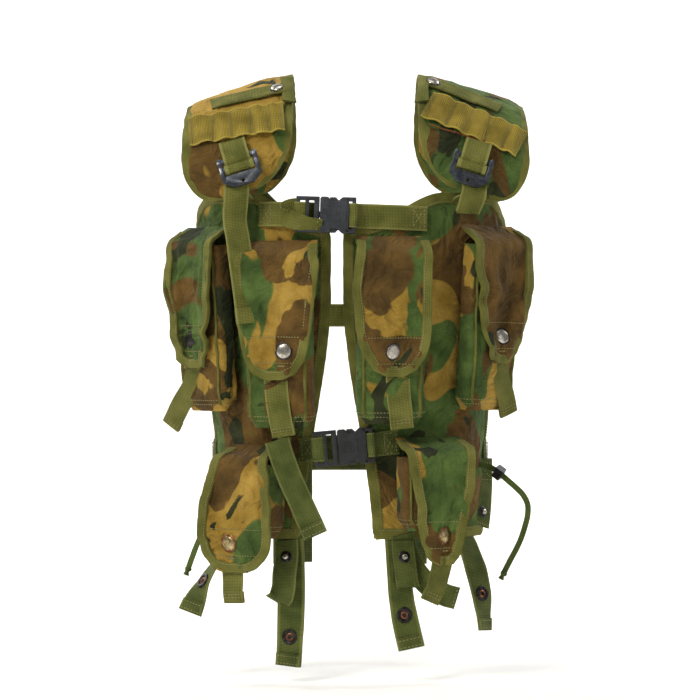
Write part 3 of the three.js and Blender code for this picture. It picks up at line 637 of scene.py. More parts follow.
# creased, pleats, gather and sag are heights of folds; an outline row is run, left, right; a cap is across
# and above the tip; a tab is across, length, width and how far it swings sideways for each unit down
flaps = {
    "mag_inner_L": {
        "creased": 2.2, "pleats": 1.3,
        "x": -64, "bottom": -76, "shift": (1.1, 0.3, 0.7), "lean": {"brown": 0.06},
        "bodyLean": {"green": 0.04, "brown": 0.03},
        "outline": [(0, -38, 38), (16, -40, 41), (34, -42, 46), (52, -41, 43), (90, -38, 37), (108, -35, 33),
                    (121, -30, 28), (130, -23, 20), (136, -13, 11)],
        "gather": 2.6, "sag": 4.0, "cap": (9, 28), "capMat": nickel, "tab": (-1, 58, 25, 0.12), "seed": 1.0,
    },
    "mag_outer_L": {
        "creased": 3.2, "pleats": 3.6,
        "x": -127, "bottom": -60, "shift": (2.3, 0.2, 1.4), "lean": {"green": 0.22, "brown": -0.07},
        "bodyLean": {"brown": 0.10, "ochre": 0.02},
        "outline": [(0, -35, 33), (20, -37, 35), (60, -34, 32), (90, -31, 28), (120, -25, 24), (134, -18, 18),
                    (140, -13, 13)],
        "gather": 3.4, "sag": 6.0, "cap": (-3, 27), "capMat": blackened, "tab": (-6, 62, 22, -0.75),
        "seed": 2.0,
    },
    "mag_inner_R": {
        "creased": 2.0, "pleats": 0.8,
        "x": 38, "bottom": -72, "shift": (3.2, 0.6, 0.2), "lean": {"brown": 0.13, "green": 0.02},
        "bodyLean": {"green": 0.02, "ochre": 0.03},
        "outline": [(0, -34, 36), (20, -35, 38), (36, -38, 38), (60, -41, 37), (94, -37, 37), (110, -33, 35),
                    (122, -27, 30), (131, -19, 22), (137, -9, 13)],
        "gather": 2.4, "sag": 4.5, "cap": (0, 24), "capMat": nickel, "tab": (5, 53, 24, 0.10), "seed": 3.0,
    },
    "mag_outer_R": {
        "creased": 3.0, "pleats": 2.2,
        "x": 122, "bottom": -59, "shift": (4.4, 0.1, 2.7), "lean": {"brown": 0.16},
        "bodyLean": {"green": 0.03, "brown": 0.03},
        "outline": [(0, -37, 40), (20, -38, 42), (50, -36, 42), (84, -30, 37), (112, -22, 31), (128, -18, 26),
                    (136, -10, 18)],
        "gather": 3.2, "sag": 6.5, "cap": (3, 26), "capMat": nickel, "tab": (6, 54, 22, 0.35), "seed": 4.0,
    },
    "grenade_L": {
        "creased": 2.2, "pleats": 1.6,
        "x": -92, "bottom": -189, "shift": (9.3, 0.3, 0.4), "lean": {"brown": 0.05, "ochre": 0.03},
        "bodyLean": {"brown": 0.06},
        "outline": [(0, -26, 26), (22, -27, 28), (44, -33, 34), (70, -40, 38), (96, -42, 39), (112, -36, 34),
                    (122, -24, 24), (125, -14, 14)],
        "gather": 3.4, "sag": 4.5, "cap": (-8, 28), "capMat": brass, "tab": (-6, 32, 24, 0.05), "seed": 5.0,
    },
    "grenade_R": {
        "creased": 2.8, "pleats": 2.6,
        "x": 76, "bottom": -181, "shift": (10.6, 0.9, 0.2), "lean": {"green": 0.03, "brown": 0.02},
        "bodyLean": {"brown": 0.10},
        "outline": [(0, -34, 36), (22, -36, 38), (44, -34, 35), (70, -29, 29), (90, -24, 23), (108, -20, 19),
                    (120, -15, 14), (124, -9, 9)],
        "gather": 4.4, "sag": 6.0, "cap": (2, 28), "capMat": brass, "tab": (1, 38, 22, -0.35), "seed": 6.0,
    },
}


# The left and right edge of an outline at a run.
def stationAt(table, run):
    for low, high in zip(table, table[1:]):
        if run <= high[0]:
            share = (run - low[0]) / (high[0] - low[0])
            return [mix(low[i], high[i], share) for i in range(1, len(low))]
    return list(table[-1][1:])


# A point of a pouch's wall, round its section and up its height, with its belly and creases.
def pouchPoint(local, size, turn, z, seed, inset=0.0):
    half, depth, height = size["width"] / 2 - inset, size["depth"] - inset, size["height"]
    low = ease(z / 14)
    px = power(math.sin(turn), 0.5) * (half - 7 * (1 - low))
    py = -depth / 2 - power(math.cos(turn), 0.5) * (depth / 2 - 0.5 - 4 * (1 - low))
    front = max(math.cos(turn), 0)
    spread = 1 - (px / half) ** 2
    full = 3.5 * math.sin(math.pi * min(z / height * 1.6, 1)) * ease((height * 0.62 - z) / 40)
    belly = front * spread * (full - 5.0 * ease((z - height * 0.45) / 30))
    point = local(px, py, z)
    ripple = 2.2 * crumple(point, 23, seed) + 1.0 * crumple(point, 9, seed + 4)
    ripple += 1.2 * crease(point, 26, seed + 7)
    push = (belly + ripple * (0.25 + 0.75 * front)) if z > 1 else 0
    side = 0.6 * ripple * (1 if px > 0 else -1) * (1 - front)
    return local(px + side, min(py - push * max(front, 0.1), -0.4), z)


for key, spec in flaps.items():
    kind, side = key.split("_", 1)
    size = pouches[kind]
    seed = spec["seed"]
    bodyName = ("mag_flap_" if kind == "mag" else "grenade_flap_") + side
    shellName = ("mag_pouch_" if kind == "mag" else "grenade_pocket_") + side
    local = seat(spec["x"], spec["bottom"], size["height"] + size["hingeRise"], size["flapWidth"] / 2)

    # the pouch: a sewn cloth bag, open at the top under its flap
    bagShift = (spec["shift"][0] + 21, 0.4, 0.9)
    bagCloth = camouflageCloth("camouflageClothPouch_" + key, bagShift, **spec["bodyLean"])
    turns, levels = 72, [0, 0.6, 2, 5, 9, 14] + [14 + (size["height"] - 14) * k / 26 for k in range(1, 27)]
    verts, faces = [], []
    for z in levels:
        verts += [pouchPoint(local, size, 2 * math.pi * k / turns, z, seed) for k in range(turns)]
    for z in (size["height"], size["height"] * 0.5, 6):
        verts += [pouchPoint(local, size, 2 * math.pi * k / turns, z, seed, inset=2.2) for k in range(turns)]
    addGrid(faces, len(levels) + 3, turns, wrap=True)
    faces.append(tuple(range(turns))[::-1])
    faces.append(tuple((len(levels) + 2) * turns + k for k in range(turns)))
    makePiece(shellName + "_bag", "vest", bagCloth, verts, faces, replaced=[shellName], finish="camouflage")
    for z in (7, 11.5):
        ring = [pouchPoint(local, size, turn * math.pi / 24, z, seed) for turn in range(-14, 15)]
        centre = local(0, -size["depth"] / 2, z)
        sew("vest", ring, [(p - centre).normalized() for p in ring], pitch=3.2, lift=0.4)
    for end, sign in (("_piping_L", -1), ("_piping_R", 1)):
        seam = [pouchPoint(local, size, sign * 0.74, z, seed) for z in range(8, int(size["height"]), 5)]
        seamLine = layLine(seam, local(sign, -1, 0) - local(0, 0, 0), step=3)
        ribbon(shellName + end, "vest", bindingTape, seamLine, 4.2, 2.4, wave=0.3, seed=seed)

    # the flap: sewn above the mouth, over it, and down the front
    front = size["depth"] + 2.6
    hinge = size["height"] + size["hingeRise"]
    top = size["height"]
    length = spec["outline"][-1][0]
    profile = [(-1.3, hinge), (-front * 0.6, top + 10), (-front + 2, top + 4.5), (-front - 0.3, top - 1),
               (-front, top - 12), (-front, hinge - length * 0.6), (-front, hinge - length)]
    roof = layLine([at(0, y, z) for y, z in profile], at(-1, 0, 0), step=2)
    fall = roof[-1]["run"]

    def flapPoint(u, run, lift=0.0):
        spot = roof[min(int(run / fall * (len(roof) - 1) + 0.5), len(roof) - 1)]
        left, right = stationAt(spec["outline"], length * run / fall)
        px = mix(left, right, u)
        centre = (left + right) / 2
        away = (px - centre) / max((right - left) / 2, 1)
        below = ease((run - 34) / 50)
        swell = 0.5 + 0.5 * math.sin(away * 5.2 + seed * 2.1 + run / 41)
        drape = spec["gather"] * below * swell * (0.35 + abs(away))
        hollow = spec["sag"] * math.sin(math.pi * min(run / fall, 1) ** 0.8) * (1 - away * away) * 0.35
        base = local(px, spot["at"].y, spot["at"].z)
        slanted = (base.x + 0.5 * base.z * math.sin(seed * 1.7), base.y, base.z * 0.45)
        upright = (base.x, base.y, base.z * 0.22)
        fold = 2.6 * crumple(base, 27, seed) + 1.3 * crumple(base, 12, seed + 9)
        fold += 0.45 * crumple(base, 5, seed + 3)
        fold += spec["creased"] * crease(slanted, 30, seed + 5)
        fold += spec["pleats"] * crease(upright, 13, seed + 2) * (0.4 + 0.6 * abs(away))
        out = lift + drape - hollow + fold * (0.3 + 0.7 * below) + 1.6 * below
        out = max(out, -0.6 + lift) if run > 24 else max(out * 0.4, -0.4 + lift)
        return local(px, spot["at"].y + spot["out"].y * out, spot["at"].z + spot["out"].z * out)

    flapCloth = camouflageCloth("camouflageClothFlap_" + key, spec["shift"], **spec["lean"])
    piece = sheetPiece(bodyName + "_cloth", bodyName, flapCloth, lambda u, v: flapPoint(u, v * fall), 46, 76,
                       2.0, replaced=[bodyName], finish="camouflage")
    edge, inward = [], []
    border = [(0, fall * k / 44) for k in range(3, 44)] + [(k / 6, fall) for k in range(1, 6)]
    border += [(1, fall * k / 44) for k in range(43, 2, -1)]
    for u, run in border:
        point = flapPoint(u, run)
        target = flapPoint(0.5, min(run, fall - 26))
        edge.append(point)
        inward.append((target - point).normalized())
    binding = bindEdge(bodyName + "_binding", bodyName, bindingTape, edge, inward, 9.5, 4.0, seed=seed)
    widths = [(flapPoint(1, fall * k / 40) - flapPoint(0, fall * k / 40)).length for k in range(41)]
    wide = max(right - left for run, left, right in spec["outline"])

    # seam lines across the lower flap, over the patch that the stud is set in
    capX, capRise = spec["cap"]
    capRun = fall - capRise
    forward = local(0, -1, 0) - local(0, 0, 0)
    for run in (capRun - 14, capRun + 12):
        row = [flapPoint(0.12 + 0.76 * k / 24, run, 1.2) for k in range(25)]
        sew(bodyName, row, forward, pitch=3.0)
    left, right = stationAt(spec["outline"], length * capRun / fall)
    share = (capX - left) / (right - left)
    cap = flapPoint(share, capRun, 1.4)
    sideways = flapPoint(share + 0.06, capRun) - flapPoint(share - 0.06, capRun)
    downward = flapPoint(share, capRun + 4) - flapPoint(share, capRun - 4)
    outward = downward.cross(sideways).normalized()
    if outward.dot(forward) < 0:
        outward = -outward
    capNode = bodyName.replace("_flap_", "_flap_cap_")
    pressStud(capNode + "_dome", bodyName, cap, outward, 7.6, spec["capMat"],
              blackened if spec["capMat"] in (nickel, blackened) else copper, replaced=[capNode])
    tack = [flapPoint(share + k * 0.012, capRun + 15 + (k % 2) * 2.0, 1.3) for k in range(-6, 7)]
    sew(bodyName, tack, outward, pitch=2.2, share=0.9, radius=0.6)

    # the pull tab: webbing sewn under the flap's end and hemmed at its own
    tabX, tabLength, tabWidth, swing = spec["tab"]
    end = hinge - length
    tabPoints = [local(tabX, -front - 0.2, end + 12), local(tabX, -front + 0.4, end + 2),
                 local(tabX + swing * 8, -front + 0.4, end - tabLength * 0.3),
                 local(tabX + swing * tabLength * 0.55, -front - 0.8, end - tabLength * 0.65),
                 local(tabX + swing * tabLength, -front + 0.6, end - tabLength)]
    acrossTab = local(-1, 0, 0) - local(0, 0, 0)
    turnedTab = acrossTab + (local(0, 0.35 * swing, 0) - local(0, 0, 0))
    tabLine = layLine(tabPoints, [acrossTab] * 2 + [turnedTab] * 3)
    ribbon(bodyName + "_pull_tab", bodyName, webOlive, tabLine, (tabWidth, tabWidth, tabWidth - 1), 2.0,
           wave=0.8, seed=seed)
    ribbon(bodyName + "_tab_hem", bodyName, webOlive, lastStretch(tabLine, 13, -2.0), tabWidth - 0.6, 1.9,
           wave=0.3, seed=seed)
    for fromEnd in (10, 5):
        sewAcross(bodyName, tabLine, tabLine[-1]["run"] - fromEnd, tabWidth / 2 - 2)
print("pouches and flaps sewn")


# shoulder pads
pads = {
    "thick": 10.6,
    "halfWidth": 56,
    "round": 0.15,
    "slope": 0.3,
    "arch": [(-112, 157), (-110, 190), (-98, 224), (-66, 254), (-20, 268), (28, 262), (64, 238), (88, 204),
             (100, 166)],
    "webHeight": 224,
    "webWidth": 36,
    "keeperHeight": 250,
    "ladderTop": 191,
    "webStops": [-47, -25, -6, 14, 33, 47],
    "L": {"sign": -1, "x": -113, "sewnX": -106, "webTurn": 0.15, "shift": (11.2, 0.4, 0.8),
          "lean": {"green": 0.05, "ochre": 0.03}},
    "R": {"sign": 1, "x": 124, "sewnX": 112, "webTurn": 0.12, "shift": (12.8, 0.6, 0.5),
          "lean": {"green": 0.14}},
}
archLine = layLine([at(0, y, z) for y, z in pads["arch"]], at(-1, 0, 0), step=0.5)
archLength = archLine[-1]["run"]


# A point of a shoulder pad: across it, along its arch from front to back, and out from its middle.
def padPlace(side, across, v, out):
    sign = pads[side]["sign"]
    lateral = at(math.cos(pads["slope"]), 0, -sign * math.sin(pads["slope"]))
    spot = archLine[min(max(int(v * (len(archLine) - 1) + 0.5), 0), len(archLine) - 1)]
    normal = lateral.cross(spot["along"]).normalized()
    return spot["at"] + at(pads[side]["x"], 0, 0) + lateral * across + normal * out


def padAxes(side, v):
    origin = padPlace(side, 0, v, 0)
    lateral = padPlace(side, 1, v, 0) - origin
    normal = (padPlace(side, 0, v, 1) - origin).normalized()
    return origin, lateral, normal, normal.cross(lateral).normalized()


def archAt(z):
    return next(k for k, s in enumerate(archLine) if s["at"].z >= z) / (len(archLine) - 1)


def padHalf(v):
    near = min(max(min(v, 1 - v) / pads["round"], 0), 1)
    return pads["halfWidth"] * (0.35 + 0.65 * math.sqrt(max(1 - (1 - near) ** 2, 0)))


for side in "LR":
    spec = pads[side]
    sign = spec["sign"]
    cover = camouflageCloth("camouflageClothPad" + side, spec["shift"], **spec["lean"])

    # a foam core in a cloth cover: crowned on both faces, pinched where the binding is sewn
    rings, around = 84, 40
    verts, faces = [], []
    for r in range(rings + 1):
        v = 0.5 - 0.5 * math.cos(math.pi * r / rings)
        half = padHalf(v) - 1.5
        for k in range(around):
            angle = 2 * math.pi * k / around
            a = power(math.cos(angle), 0.8)
            edge = max(1 - abs(a) ** 3.2, 0) ** 0.55
            end = min(1, (min(v, 1 - v) / 0.05 + 0.15)) ** 0.5
            height = math.copysign(1, math.sin(angle)) * (1.2 + (pads["thick"] / 2 - 1.0) * edge * end)
            spot = padPlace(side, a * half, v, 0)
            fold = 1.6 * crumple(spot, 26, 3 * sign) + 0.7 * crumple(spot, 10, sign)
            fold += 0.8 * crease(spot, 22, sign)
            verts.append(padPlace(side, a * half, v, height + (fold if height > 0 else -fold * 0.5) * edge))
    addGrid(faces, rings + 1, around, wrap=True)
    faces.append(tuple(range(around))[::-1])
    faces.append(tuple(rings * around + k for k in range(around)))
    pad = makePiece("shoulder_pad_" + side + "_cover", "vest", cover, verts, faces,
                    replaced=["shoulder_pad_" + side], finish="camouflage")

    # olive tape bound round the whole edge
    vs = [0.5 - 0.5 * math.cos(math.pi * k / 60) for k in range(61)]
    loop = [(1, v) for v in vs] + [(mix(1, -1, k / 8), 1.0) for k in range(1, 8)]
    loop += [(-1, v) for v in vs[::-1]] + [(mix(-1, 1, k / 8), 0.0) for k in range(1, 9)]
    edge, inward = [], []
    for a, v in loop:
        point = padPlace(side, a * (padHalf(v) - 0.5), v, 0)
        middle = padPlace(side, a * (padHalf(v) - 0.5) * 0.9, mix(v, 0.5, 0.04), 0)
        edge.append(point)
        inward.append((middle - point).normalized())
    bindEdge("shoulder_pad_" + side + "_binding", "vest", bindingTape, edge, inward, 17, 5.8, wave=0.8,
             seed=9 * sign)

    # the broad web across the front, sewn down at intervals so that it stands off in loops
    def acrossPad(height, start, end, out, ripple, stops):
        v = archAt(height)
        down = padAxes(side, v)[3]
        points = []
        for k in range(29):
            a = mix(start, end, k / 28)
            lift = ripple * ease(min(abs(a - s) for s in stops) / 9)
            points.append(padPlace(side, a, v - a * spec["webTurn"] / archLength, out + lift))
        return layLine(points, -down if end > start else down, step=2.2)

    web = acrossPad(pads["webHeight"], -50, 50, pads["thick"] / 2 + 1.6, 2.6, pads["webStops"])
    ribbon("pad_webbing_" + side + "_web", "vest", webMustard, web, pads["webWidth"], 1.9, wave=1.3,
           seed=sign, frayed=0.05, replaced=["pad_webbing_" + side], finish="pad_webbing")
    for stop in pads["webStops"]:
        for shift in (-1.2, 1.2):
            sewAcross("vest", web, (stop + 50 + shift) / 100 * web[-1]["run"], pads["webWidth"] / 2 - 1.5,
                      pitch=2.8)
    if side == "R":
        v = archAt(pads["webHeight"])
        fray = [padPlace(side, mix(-49, 40, k / 24), v - (pads["webWidth"] / 2 - 1) / archLength,
                         pads["thick"] / 2 + 4 + 0.8 * math.sin(k)) for k in range(25)]
        sew("vest", fray, padAxes(side, v)[2], pitch=1.6, share=1.3, radius=0.8, mat=frayedThread)

    # the keeper strap above it, closed by a stud
    keeper = "keeper_strap_" + side
    line = acrossPad(pads["keeperHeight"], sign * 28, -sign * 52, pads["thick"] / 2 + 1.9, 0.8, [sign * 26])
    ribbon(keeper + "_web", keeper, webOlive, line, (19, 20, 19, 17), 2.2, wave=0.9, seed=3 * sign,
           replaced=[keeper])
    for offset in (-7.2, 7.2):
        sewAlong(keeper, line, 9, line[-1]["run"] - 2, offset, pitch=3.0)
    sewAcross(keeper, line, 9, 8)
    capSpot = min(line, key=lambda s: abs(s["run"] - (line[-1]["run"] - 9)))
    pressStud("keeper_cap_" + side + "_dome", keeper, capSpot["at"] + capSpot["out"] * 1.2, capSpot["out"],
              6.4, nickel, blackened, replaced=["keeper_cap_" + side])

    # a folded tab of webbing stands along the inner end of the pad
    inner = -sign
    tabRoot = archAt(244)
    tabLine = layLine([padPlace(side, inner * (54 - k * 0.6), tabRoot + k * 0.026, pads["thick"] / 2 + lift)
                       for k, lift in ((-2.2, 0.6), (-1, 1.2), (0, 1.6), (1, 1.2), (2.4, 2.4))],
                      [at(inner * w, 0.3, 0) for w in (0.7, 1, 0.6, 0.9, 0.8)], step=2)
    ribbon("pad_side_tab_" + side, "vest", webOlive, tabLine, (15, 11, 14), 2.4, wave=1.2, seed=sign * 4)
print("shoulder pads padded")


# ladder buckles and their straps
# each row is how far down the plate and how far out from its face
ladder = {
    "bend": 1.7,
    "carrier": [(-20, -5.6), (-10, -4.6), (-1, -1.6), (3.5, 0.2), (6.6, 2.2), (3.2, 4.9), (-3, 4.3),
                (-16, 1.5)],
    "roll": [(15.6, -1.4), (14.8, 2.2), (11, 4.3), (7.2, 2.2), (6.4, -1.4)],
    "lug": [(-0.6, 1.4), (3, 2.6), (8, 2.0), (13, 2.8), (18, 2.4), (22.5, 1.4)],
    "lugAcross": 18.4,
}


# A CAD part's own shape with its facets merged and its edges rounded.
def roundedCopy(node, name, body, mat, bevel):
    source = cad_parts[node]
    mesh = source.data.copy()
    mesh.name = name
    work = bmesh.new()
    work.from_mesh(mesh)
    bmesh.ops.remove_doubles(work, verts=work.verts, dist=2e-5)
    bmesh.ops.dissolve_limit(work, angle_limit=math.radians(3), verts=work.verts, edges=work.edges)
    work.to_mesh(mesh)
    work.free()
    mesh.materials.clear()
    mesh.materials.append(mat)
    mesh.shade_smooth()
    piece = bpy.data.objects.new(name, mesh)
    bpy.context.collection.objects.link(piece)
    edge = piece.modifiers.new("roundedEdges", "BEVEL")
    edge.width = bevel * 0.001
    edge.segments = 3
    edge.limit_method = "ANGLE"
    edge.angle_limit = math.radians(32)
    edge.harden_normals = True
    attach(piece, body)
    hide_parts(node)
    return piece


# the free tails: each point, and the way across the web there
tails = {
    "L": [((-114, -123, 146), (-0.95, -0.2, -0.2)), ((-115, -124, 130), (-0.9, -0.3, 0)),
          ((-112, -125, 112), (-0.9, -0.35, 0)), ((-108, -126, 84), (-0.97, -0.2, 0)),
          ((-104, -128, 54), (-0.97, -0.25, 0.1)), ((-101, -128, 27), (-0.95, -0.3, 0.2))],
    "R": [((122, -119, 150), (-0.98, 0, 0.2)), ((118, -112, 138), (-0.95, -0.2, 0))],
}
for side in "LR":
    surface = pads["thick"] / 2
    buckleBody = "ladder_buckle_" + side
    roundedCopy(buckleBody, buckleBody + "_plate", buckleBody, steel, 0.7)
    v = archAt(pads["ladderTop"])
    origin, lateral, normal, up = padAxes(side, v)
    face = surface + 0.3 + 1.8 + 2 * ladder["bend"] + 0.3

    def ladderSpot(across, down, out):
        return origin + lateral * across + up * -down + normal * (face + out)

    # the web that carries the buckle: from under the broad web, round the top bar and back up
    carry = layLine([ladderSpot(0, down, out) for down, out in ladder["carrier"]], -lateral, step=1.5)
    ribbon("ladder_carrier_" + side, "vest", webOlive, carry, 27, 1.8, wave=0.4, seed=6.0)
    for run in (10, 13):
        sewAcross("vest", carry, carry[-1]["run"] - run, 11.5)

    # the adjuster web where it rolls over the middle bar, in front of the plate
    roll = layLine([ladderSpot(0, down, out) for down, out in ladder["roll"]], -lateral, step=1.0)
    ribbon("ladder_roll_" + side, buckleBody, webOlive, roll, 30, 1.6, wave=0.3, seed=2.0)
    for end, across in (("_left", -ladder["lugAcross"]), ("_right", ladder["lugAcross"])):
        lug = layLine([ladderSpot(across, down, out) for down, out in ladder["lug"]], -lateral, step=1.2)
        ribbon("ladder_lug_" + side + end, buckleBody, steel, lug, (3.6, 5.2, 3.6, 5.4, 3.4), 2.4,
               finish="buckle_steel")

    # the adjuster: up behind the plate, over its lower bar, and down again as a free tail
    fold = archAt(pads["ladderTop"] - 9)
    low = archAt(pads["arch"][0][1] + 2)
    rear = surface + 1.2
    sewn = pads[side]["sewnX"]
    rise = [onTorso(sewn, panel["top"] - 20, 5.4), onTorso(sewn, panel["top"] - 8, 6.5),
            padPlace(side, 0, 0, rear + 2.4) + at(0, 0, -3), padPlace(side, 0, low, rear + 1.6),
            padPlace(side, 0, mix(low, fold, 0.4), rear), padPlace(side, 0, fold, rear),
            padPlace(side, 0, fold + 0.004, rear + 1.7)]
    front = rear + 2 * ladder["bend"] + 0.4
    fall = [padPlace(side, 0, fold + 0.003, front), padPlace(side, 0, mix(low, fold, 0.4), front + 0.3),
            padPlace(side, 0, low, front + 2.0)] + [at(*point) for point, across in tails[side]]
    sides = [at(0.97, 0.1, 0)] * 2 + [padAxes(side, 0.02)[1]] * 8
    sides += [-at(*across) for point, across in tails[side]]
    strap = layLine(rise + fall, sides, step=2)
    ribbon("adjuster_strap_" + side + "_web", "vest", webOlive, strap, 25, 1.8, wave=0.7, seed=8.0,
           replaced=["adjuster_strap_" + side])
    if side == "L":
        hem = lastStretch(strap, 16, -2.0)
        ribbon("adjuster_tail_hem", "vest", webOlive, hem, 24.4, 1.9, wave=0.3)
        for run in (4, 13):
            sewAcross("vest", strap, strap[-1]["run"] - run, 10.5, lift=-3.0)
print("ladder buckles threaded")


# side-release buckles and their webs
# a socket's plates are cut away at the sides, where the arms' thumb pads show; its bars join them, and a
# grip patch stands on the front; all are outlines along and across the strap, between two depths
cheek = [(0, 16.4), (1.6, 18), (7.4, 18), (9.2, 16.6), (11, 14), (14, 13.2), (17.6, 13.8), (20, 16), (22.4, 18),
         (29, 18)]


def barOutline(x0, z0, x1, z1):
    return [(x0, z1), (x1, z1), (x1, z0), (x0, z0)]


buckle = {
    "height": 36,
    "thick": 11,
    "socketLength": 36,
    "plate": cheek + [(x, -z) for x, z in cheek[::-1]],
    "plateDepths": [(-11, -9), (-2, 0)],
    "bars": [(barOutline(22.4, -18, 28, 18), -10.6, -0.4), (barOutline(32, -18, 36, 18), -11, 0),
             (barOutline(26, 14, 34, 18), -11, 0), (barOutline(26, -18, 34, -14), -11, 0),
             (barOutline(3, -7, 20, 7), -11.6, -10)],
    "socketLoop": [(46, 0.2), (41, -0.6), (37.6, -2.6), (37.4, -8.5), (35.6, -12.1), (32.4, -12.2),
                   (30.2, -10.4), (29.8, -6)],
    "plugLoop": [(-18, -1.2), (-22, -1.3), (-25.4, -3), (-25.8, -6.5), (-23.2, -9.5), (-18, -9.7),
                 (-14.6, -8.2), (-13.9, -4.6)],
}
closures = {
    "chest": {"x": -30, "z": 135, "tilt": -0.03, "webEndL": -90, "webEndR": 76, "nylon": nylonGrey,
              "web": webOlive},
    "waist": {"x": -12, "z": -98, "tilt": 0.09, "webEndL": -50, "webEndR": 48, "nylon": nylonBlack,
              "web": webGreen},
}

for name, spec in closures.items():
    reach, tilt = buckle["height"] / 2, spec["tilt"]
    depth = max(torsoSize(spec["z"] + k * reach)[1] for k in (-1, 0, 1))
    origin = at(spec["x"], -depth - 3 - 0.6 - 1.8, spec["z"])
    axisX, axisZ = at(math.cos(tilt), 0, math.sin(tilt)), at(-math.sin(tilt), 0, math.cos(tilt))

    def onBuckle(x, y, z):
        return origin + axisX * x + at(0, y, 0) + axisZ * z

    for part, bevel in (("_plug", 1.0), ("_prong_upper", 0.8), ("_prong_lower", 0.8)):
        roundedCopy(name + part, name + part + "_moulding", name + part, spec["nylon"], bevel)

    work = bmesh.new()
    plates = [(buckle["plate"], *depths) for depths in buckle["plateDepths"]]
    for outline, front, rear in plates + buckle["bars"]:
        low = [work.verts.new(onBuckle(x, front, z) * 0.001) for x, z in outline]
        high = [work.verts.new(onBuckle(x, rear, z) * 0.001) for x, z in outline]
        work.faces.new(low[::-1])
        work.faces.new(high)
        for k in range(len(low)):
            n = (k + 1) % len(low)
            work.faces.new((low[k], low[n], high[n], high[k]))
    bmesh.ops.recalc_face_normals(work, faces=work.faces)
    mesh = bpy.data.meshes.new(name + "_socket_moulding")
    work.to_mesh(mesh)
    work.free()
    mesh.materials.append(spec["nylon"])
    mesh.shade_smooth()
    socket = bpy.data.objects.new(name + "_socket_moulding", mesh)
    bpy.context.collection.objects.link(socket)
    edge = socket.modifiers.new("roundedEdges", "BEVEL")
    edge.width, edge.segments, edge.harden_normals = 0.0009, 3, True
    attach(socket, "vest")
    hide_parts(name + "_socket")

    # moulded details: grip ribs on the socket, and on the arms' thumb pads
    face = -buckle["thick"] - 0.2
    ribs = [("_socket_rib_" + str(k), x, 5.5, 1.3, face - 0.5) for k, x in enumerate((6.5, 9.5, 12.5, 15.5))]
    for label, x, reachZ, size, y in ribs + [("_socket_rim_end", 25.6, 15, 2.0, face)]:
        a, b = onBuckle(x, y, -reachZ), onBuckle(x, y, reachZ)
        line = layLine([a, a.lerp(b, 0.5), b], (b - a).normalized().cross(at(0, 1, 0)), step=2)
        ribbon(name + label, "vest", spec["nylon"], line, (size * 0.7, size, size, size * 0.7), 1.0,
               finish="black_nylon")
    for prong, edgeZ in ((name + "_prong_upper", 17.7), (name + "_prong_lower", -17.7)):
        for k in range(4):
            x = 10.2 + 1.8 * k
            a, b = onBuckle(x, -3.4, edgeZ), onBuckle(x, -7.4, edgeZ)
            line = layLine([a, a.lerp(b, 0.5), b], axisX, step=1.2)
            ribbon(prong + "_rib_" + str(k), prong, spec["nylon"], line, 0.9, 0.9, finish="black_nylon")

    # the sewn webs: straight behind the buckle, then settling on the panel
    def settling(start, end):
        points, sides = [], []
        for share in (0.15, 0.3, 0.5, 0.7, 0.85, 1):
            px = spec["x"] + mix(start, end - spec["x"], share)
            pz = spec["z"] + (px - spec["x"]) * tilt
            spot = onTorso(px, pz, 4.8)
            spot.y = mix(origin.y + 1.2, spot.y, ease(share))
            lean = (onTorso(px, pz + 12, 4.8) - onTorso(px, pz - 12, 4.8)).normalized()
            points.append(spot)
            sides.append(-lean)
        return points, sides

    leftPoints, leftSides = settling(-18, spec["webEndL"])
    rightPoints, rightSides = settling(buckle["socketLength"] + 3, spec["webEndR"])
    behind = [onBuckle(x, 1.2, 0) for x in (-16, -4, 23, 39)]
    left = layLine(leftPoints[::-1] + behind[:2], leftSides[::-1] + [-axisZ] * 2)
    right = layLine(behind[2:] + rightPoints, [-axisZ] * 2 + rightSides)
    for end, line in (("L", left), ("R", right)):
        ribbon(name + "_web_" + end + "_strap", "vest", spec["web"], line, 25, 1.9, wave=0.7, seed=ord(end),
               replaced=[name + "_web_" + end])
    sewBox("vest", right, right[-1]["run"] - 16, right[-1]["run"] - 3, 10)
    sewBox("vest", left, 3, 16, 10)
    sewAcross("vest", right, 24, 10.5)

    # the loop of web round the socket's end bar, and the one round the plug's
    loop = layLine([onBuckle(x, y, 0) for x, y in buckle["socketLoop"]], -axisZ, step=1.5)
    ribbon(name + "_socket_loop", "vest", spec["web"], loop, 24, 1.7, wave=0.25)
    loop = layLine([onBuckle(x, y, 0) for x, y in buckle["plugLoop"]], axisZ, step=1.5)
    ribbon(name + "_plug_loop", name + "_plug", spec["web"], loop, 24, 1.7, wave=0.25)
print("buckles moulded")

# the free tails of the two webs, folded back from the plugs
# each row: a point, and the way across the web there
freeTails = {
    "chest": [((-50, -120.5, 141), (0, 0, 1)), ((-58, -121.5, 140.5), (0, 0, 1)),
              ((-63.5, -123.5, 138), (-0.05, 0, 1)), ((-64.5, -126, 134), (-0.15, 0, 1)),
              ((-60, -128, 130.5), (-0.3, -0.1, 1)), ((-50, -129, 127.5), (-0.3, -0.2, 1)),
              ((-39, -129.5, 125), (-0.3, -0.5, 1)), ((-28, -129, 123.5), (-0.25, -0.7, 0.9))],
    "waistFold": [((-60, -119.5, -100), (0.1, 0, 1)), ((-66, -121.5, -99.5), (0.1, 0, 1)),
                  ((-72.5, -124, -99), (0.1, 0, 1))],
    "waist": [((-73, -125.5, -90), (-0.93, -0.2, -0.34)), ((-69, -126.5, -103), (-0.93, -0.2, -0.34)),
              ((-60.5, -128, -126), (-0.93, -0.2, -0.34)), ((-49, -128.5, -152), (-0.9, -0.3, -0.4)),
              ((-34, -127.5, -185), (-0.9, 0.1, -0.4))],
}


def freeTail(name, step):
    rows = freeTails[name]
    return layLine([at(*point) for point, across in rows], [at(*across) for point, across in rows], step=step)


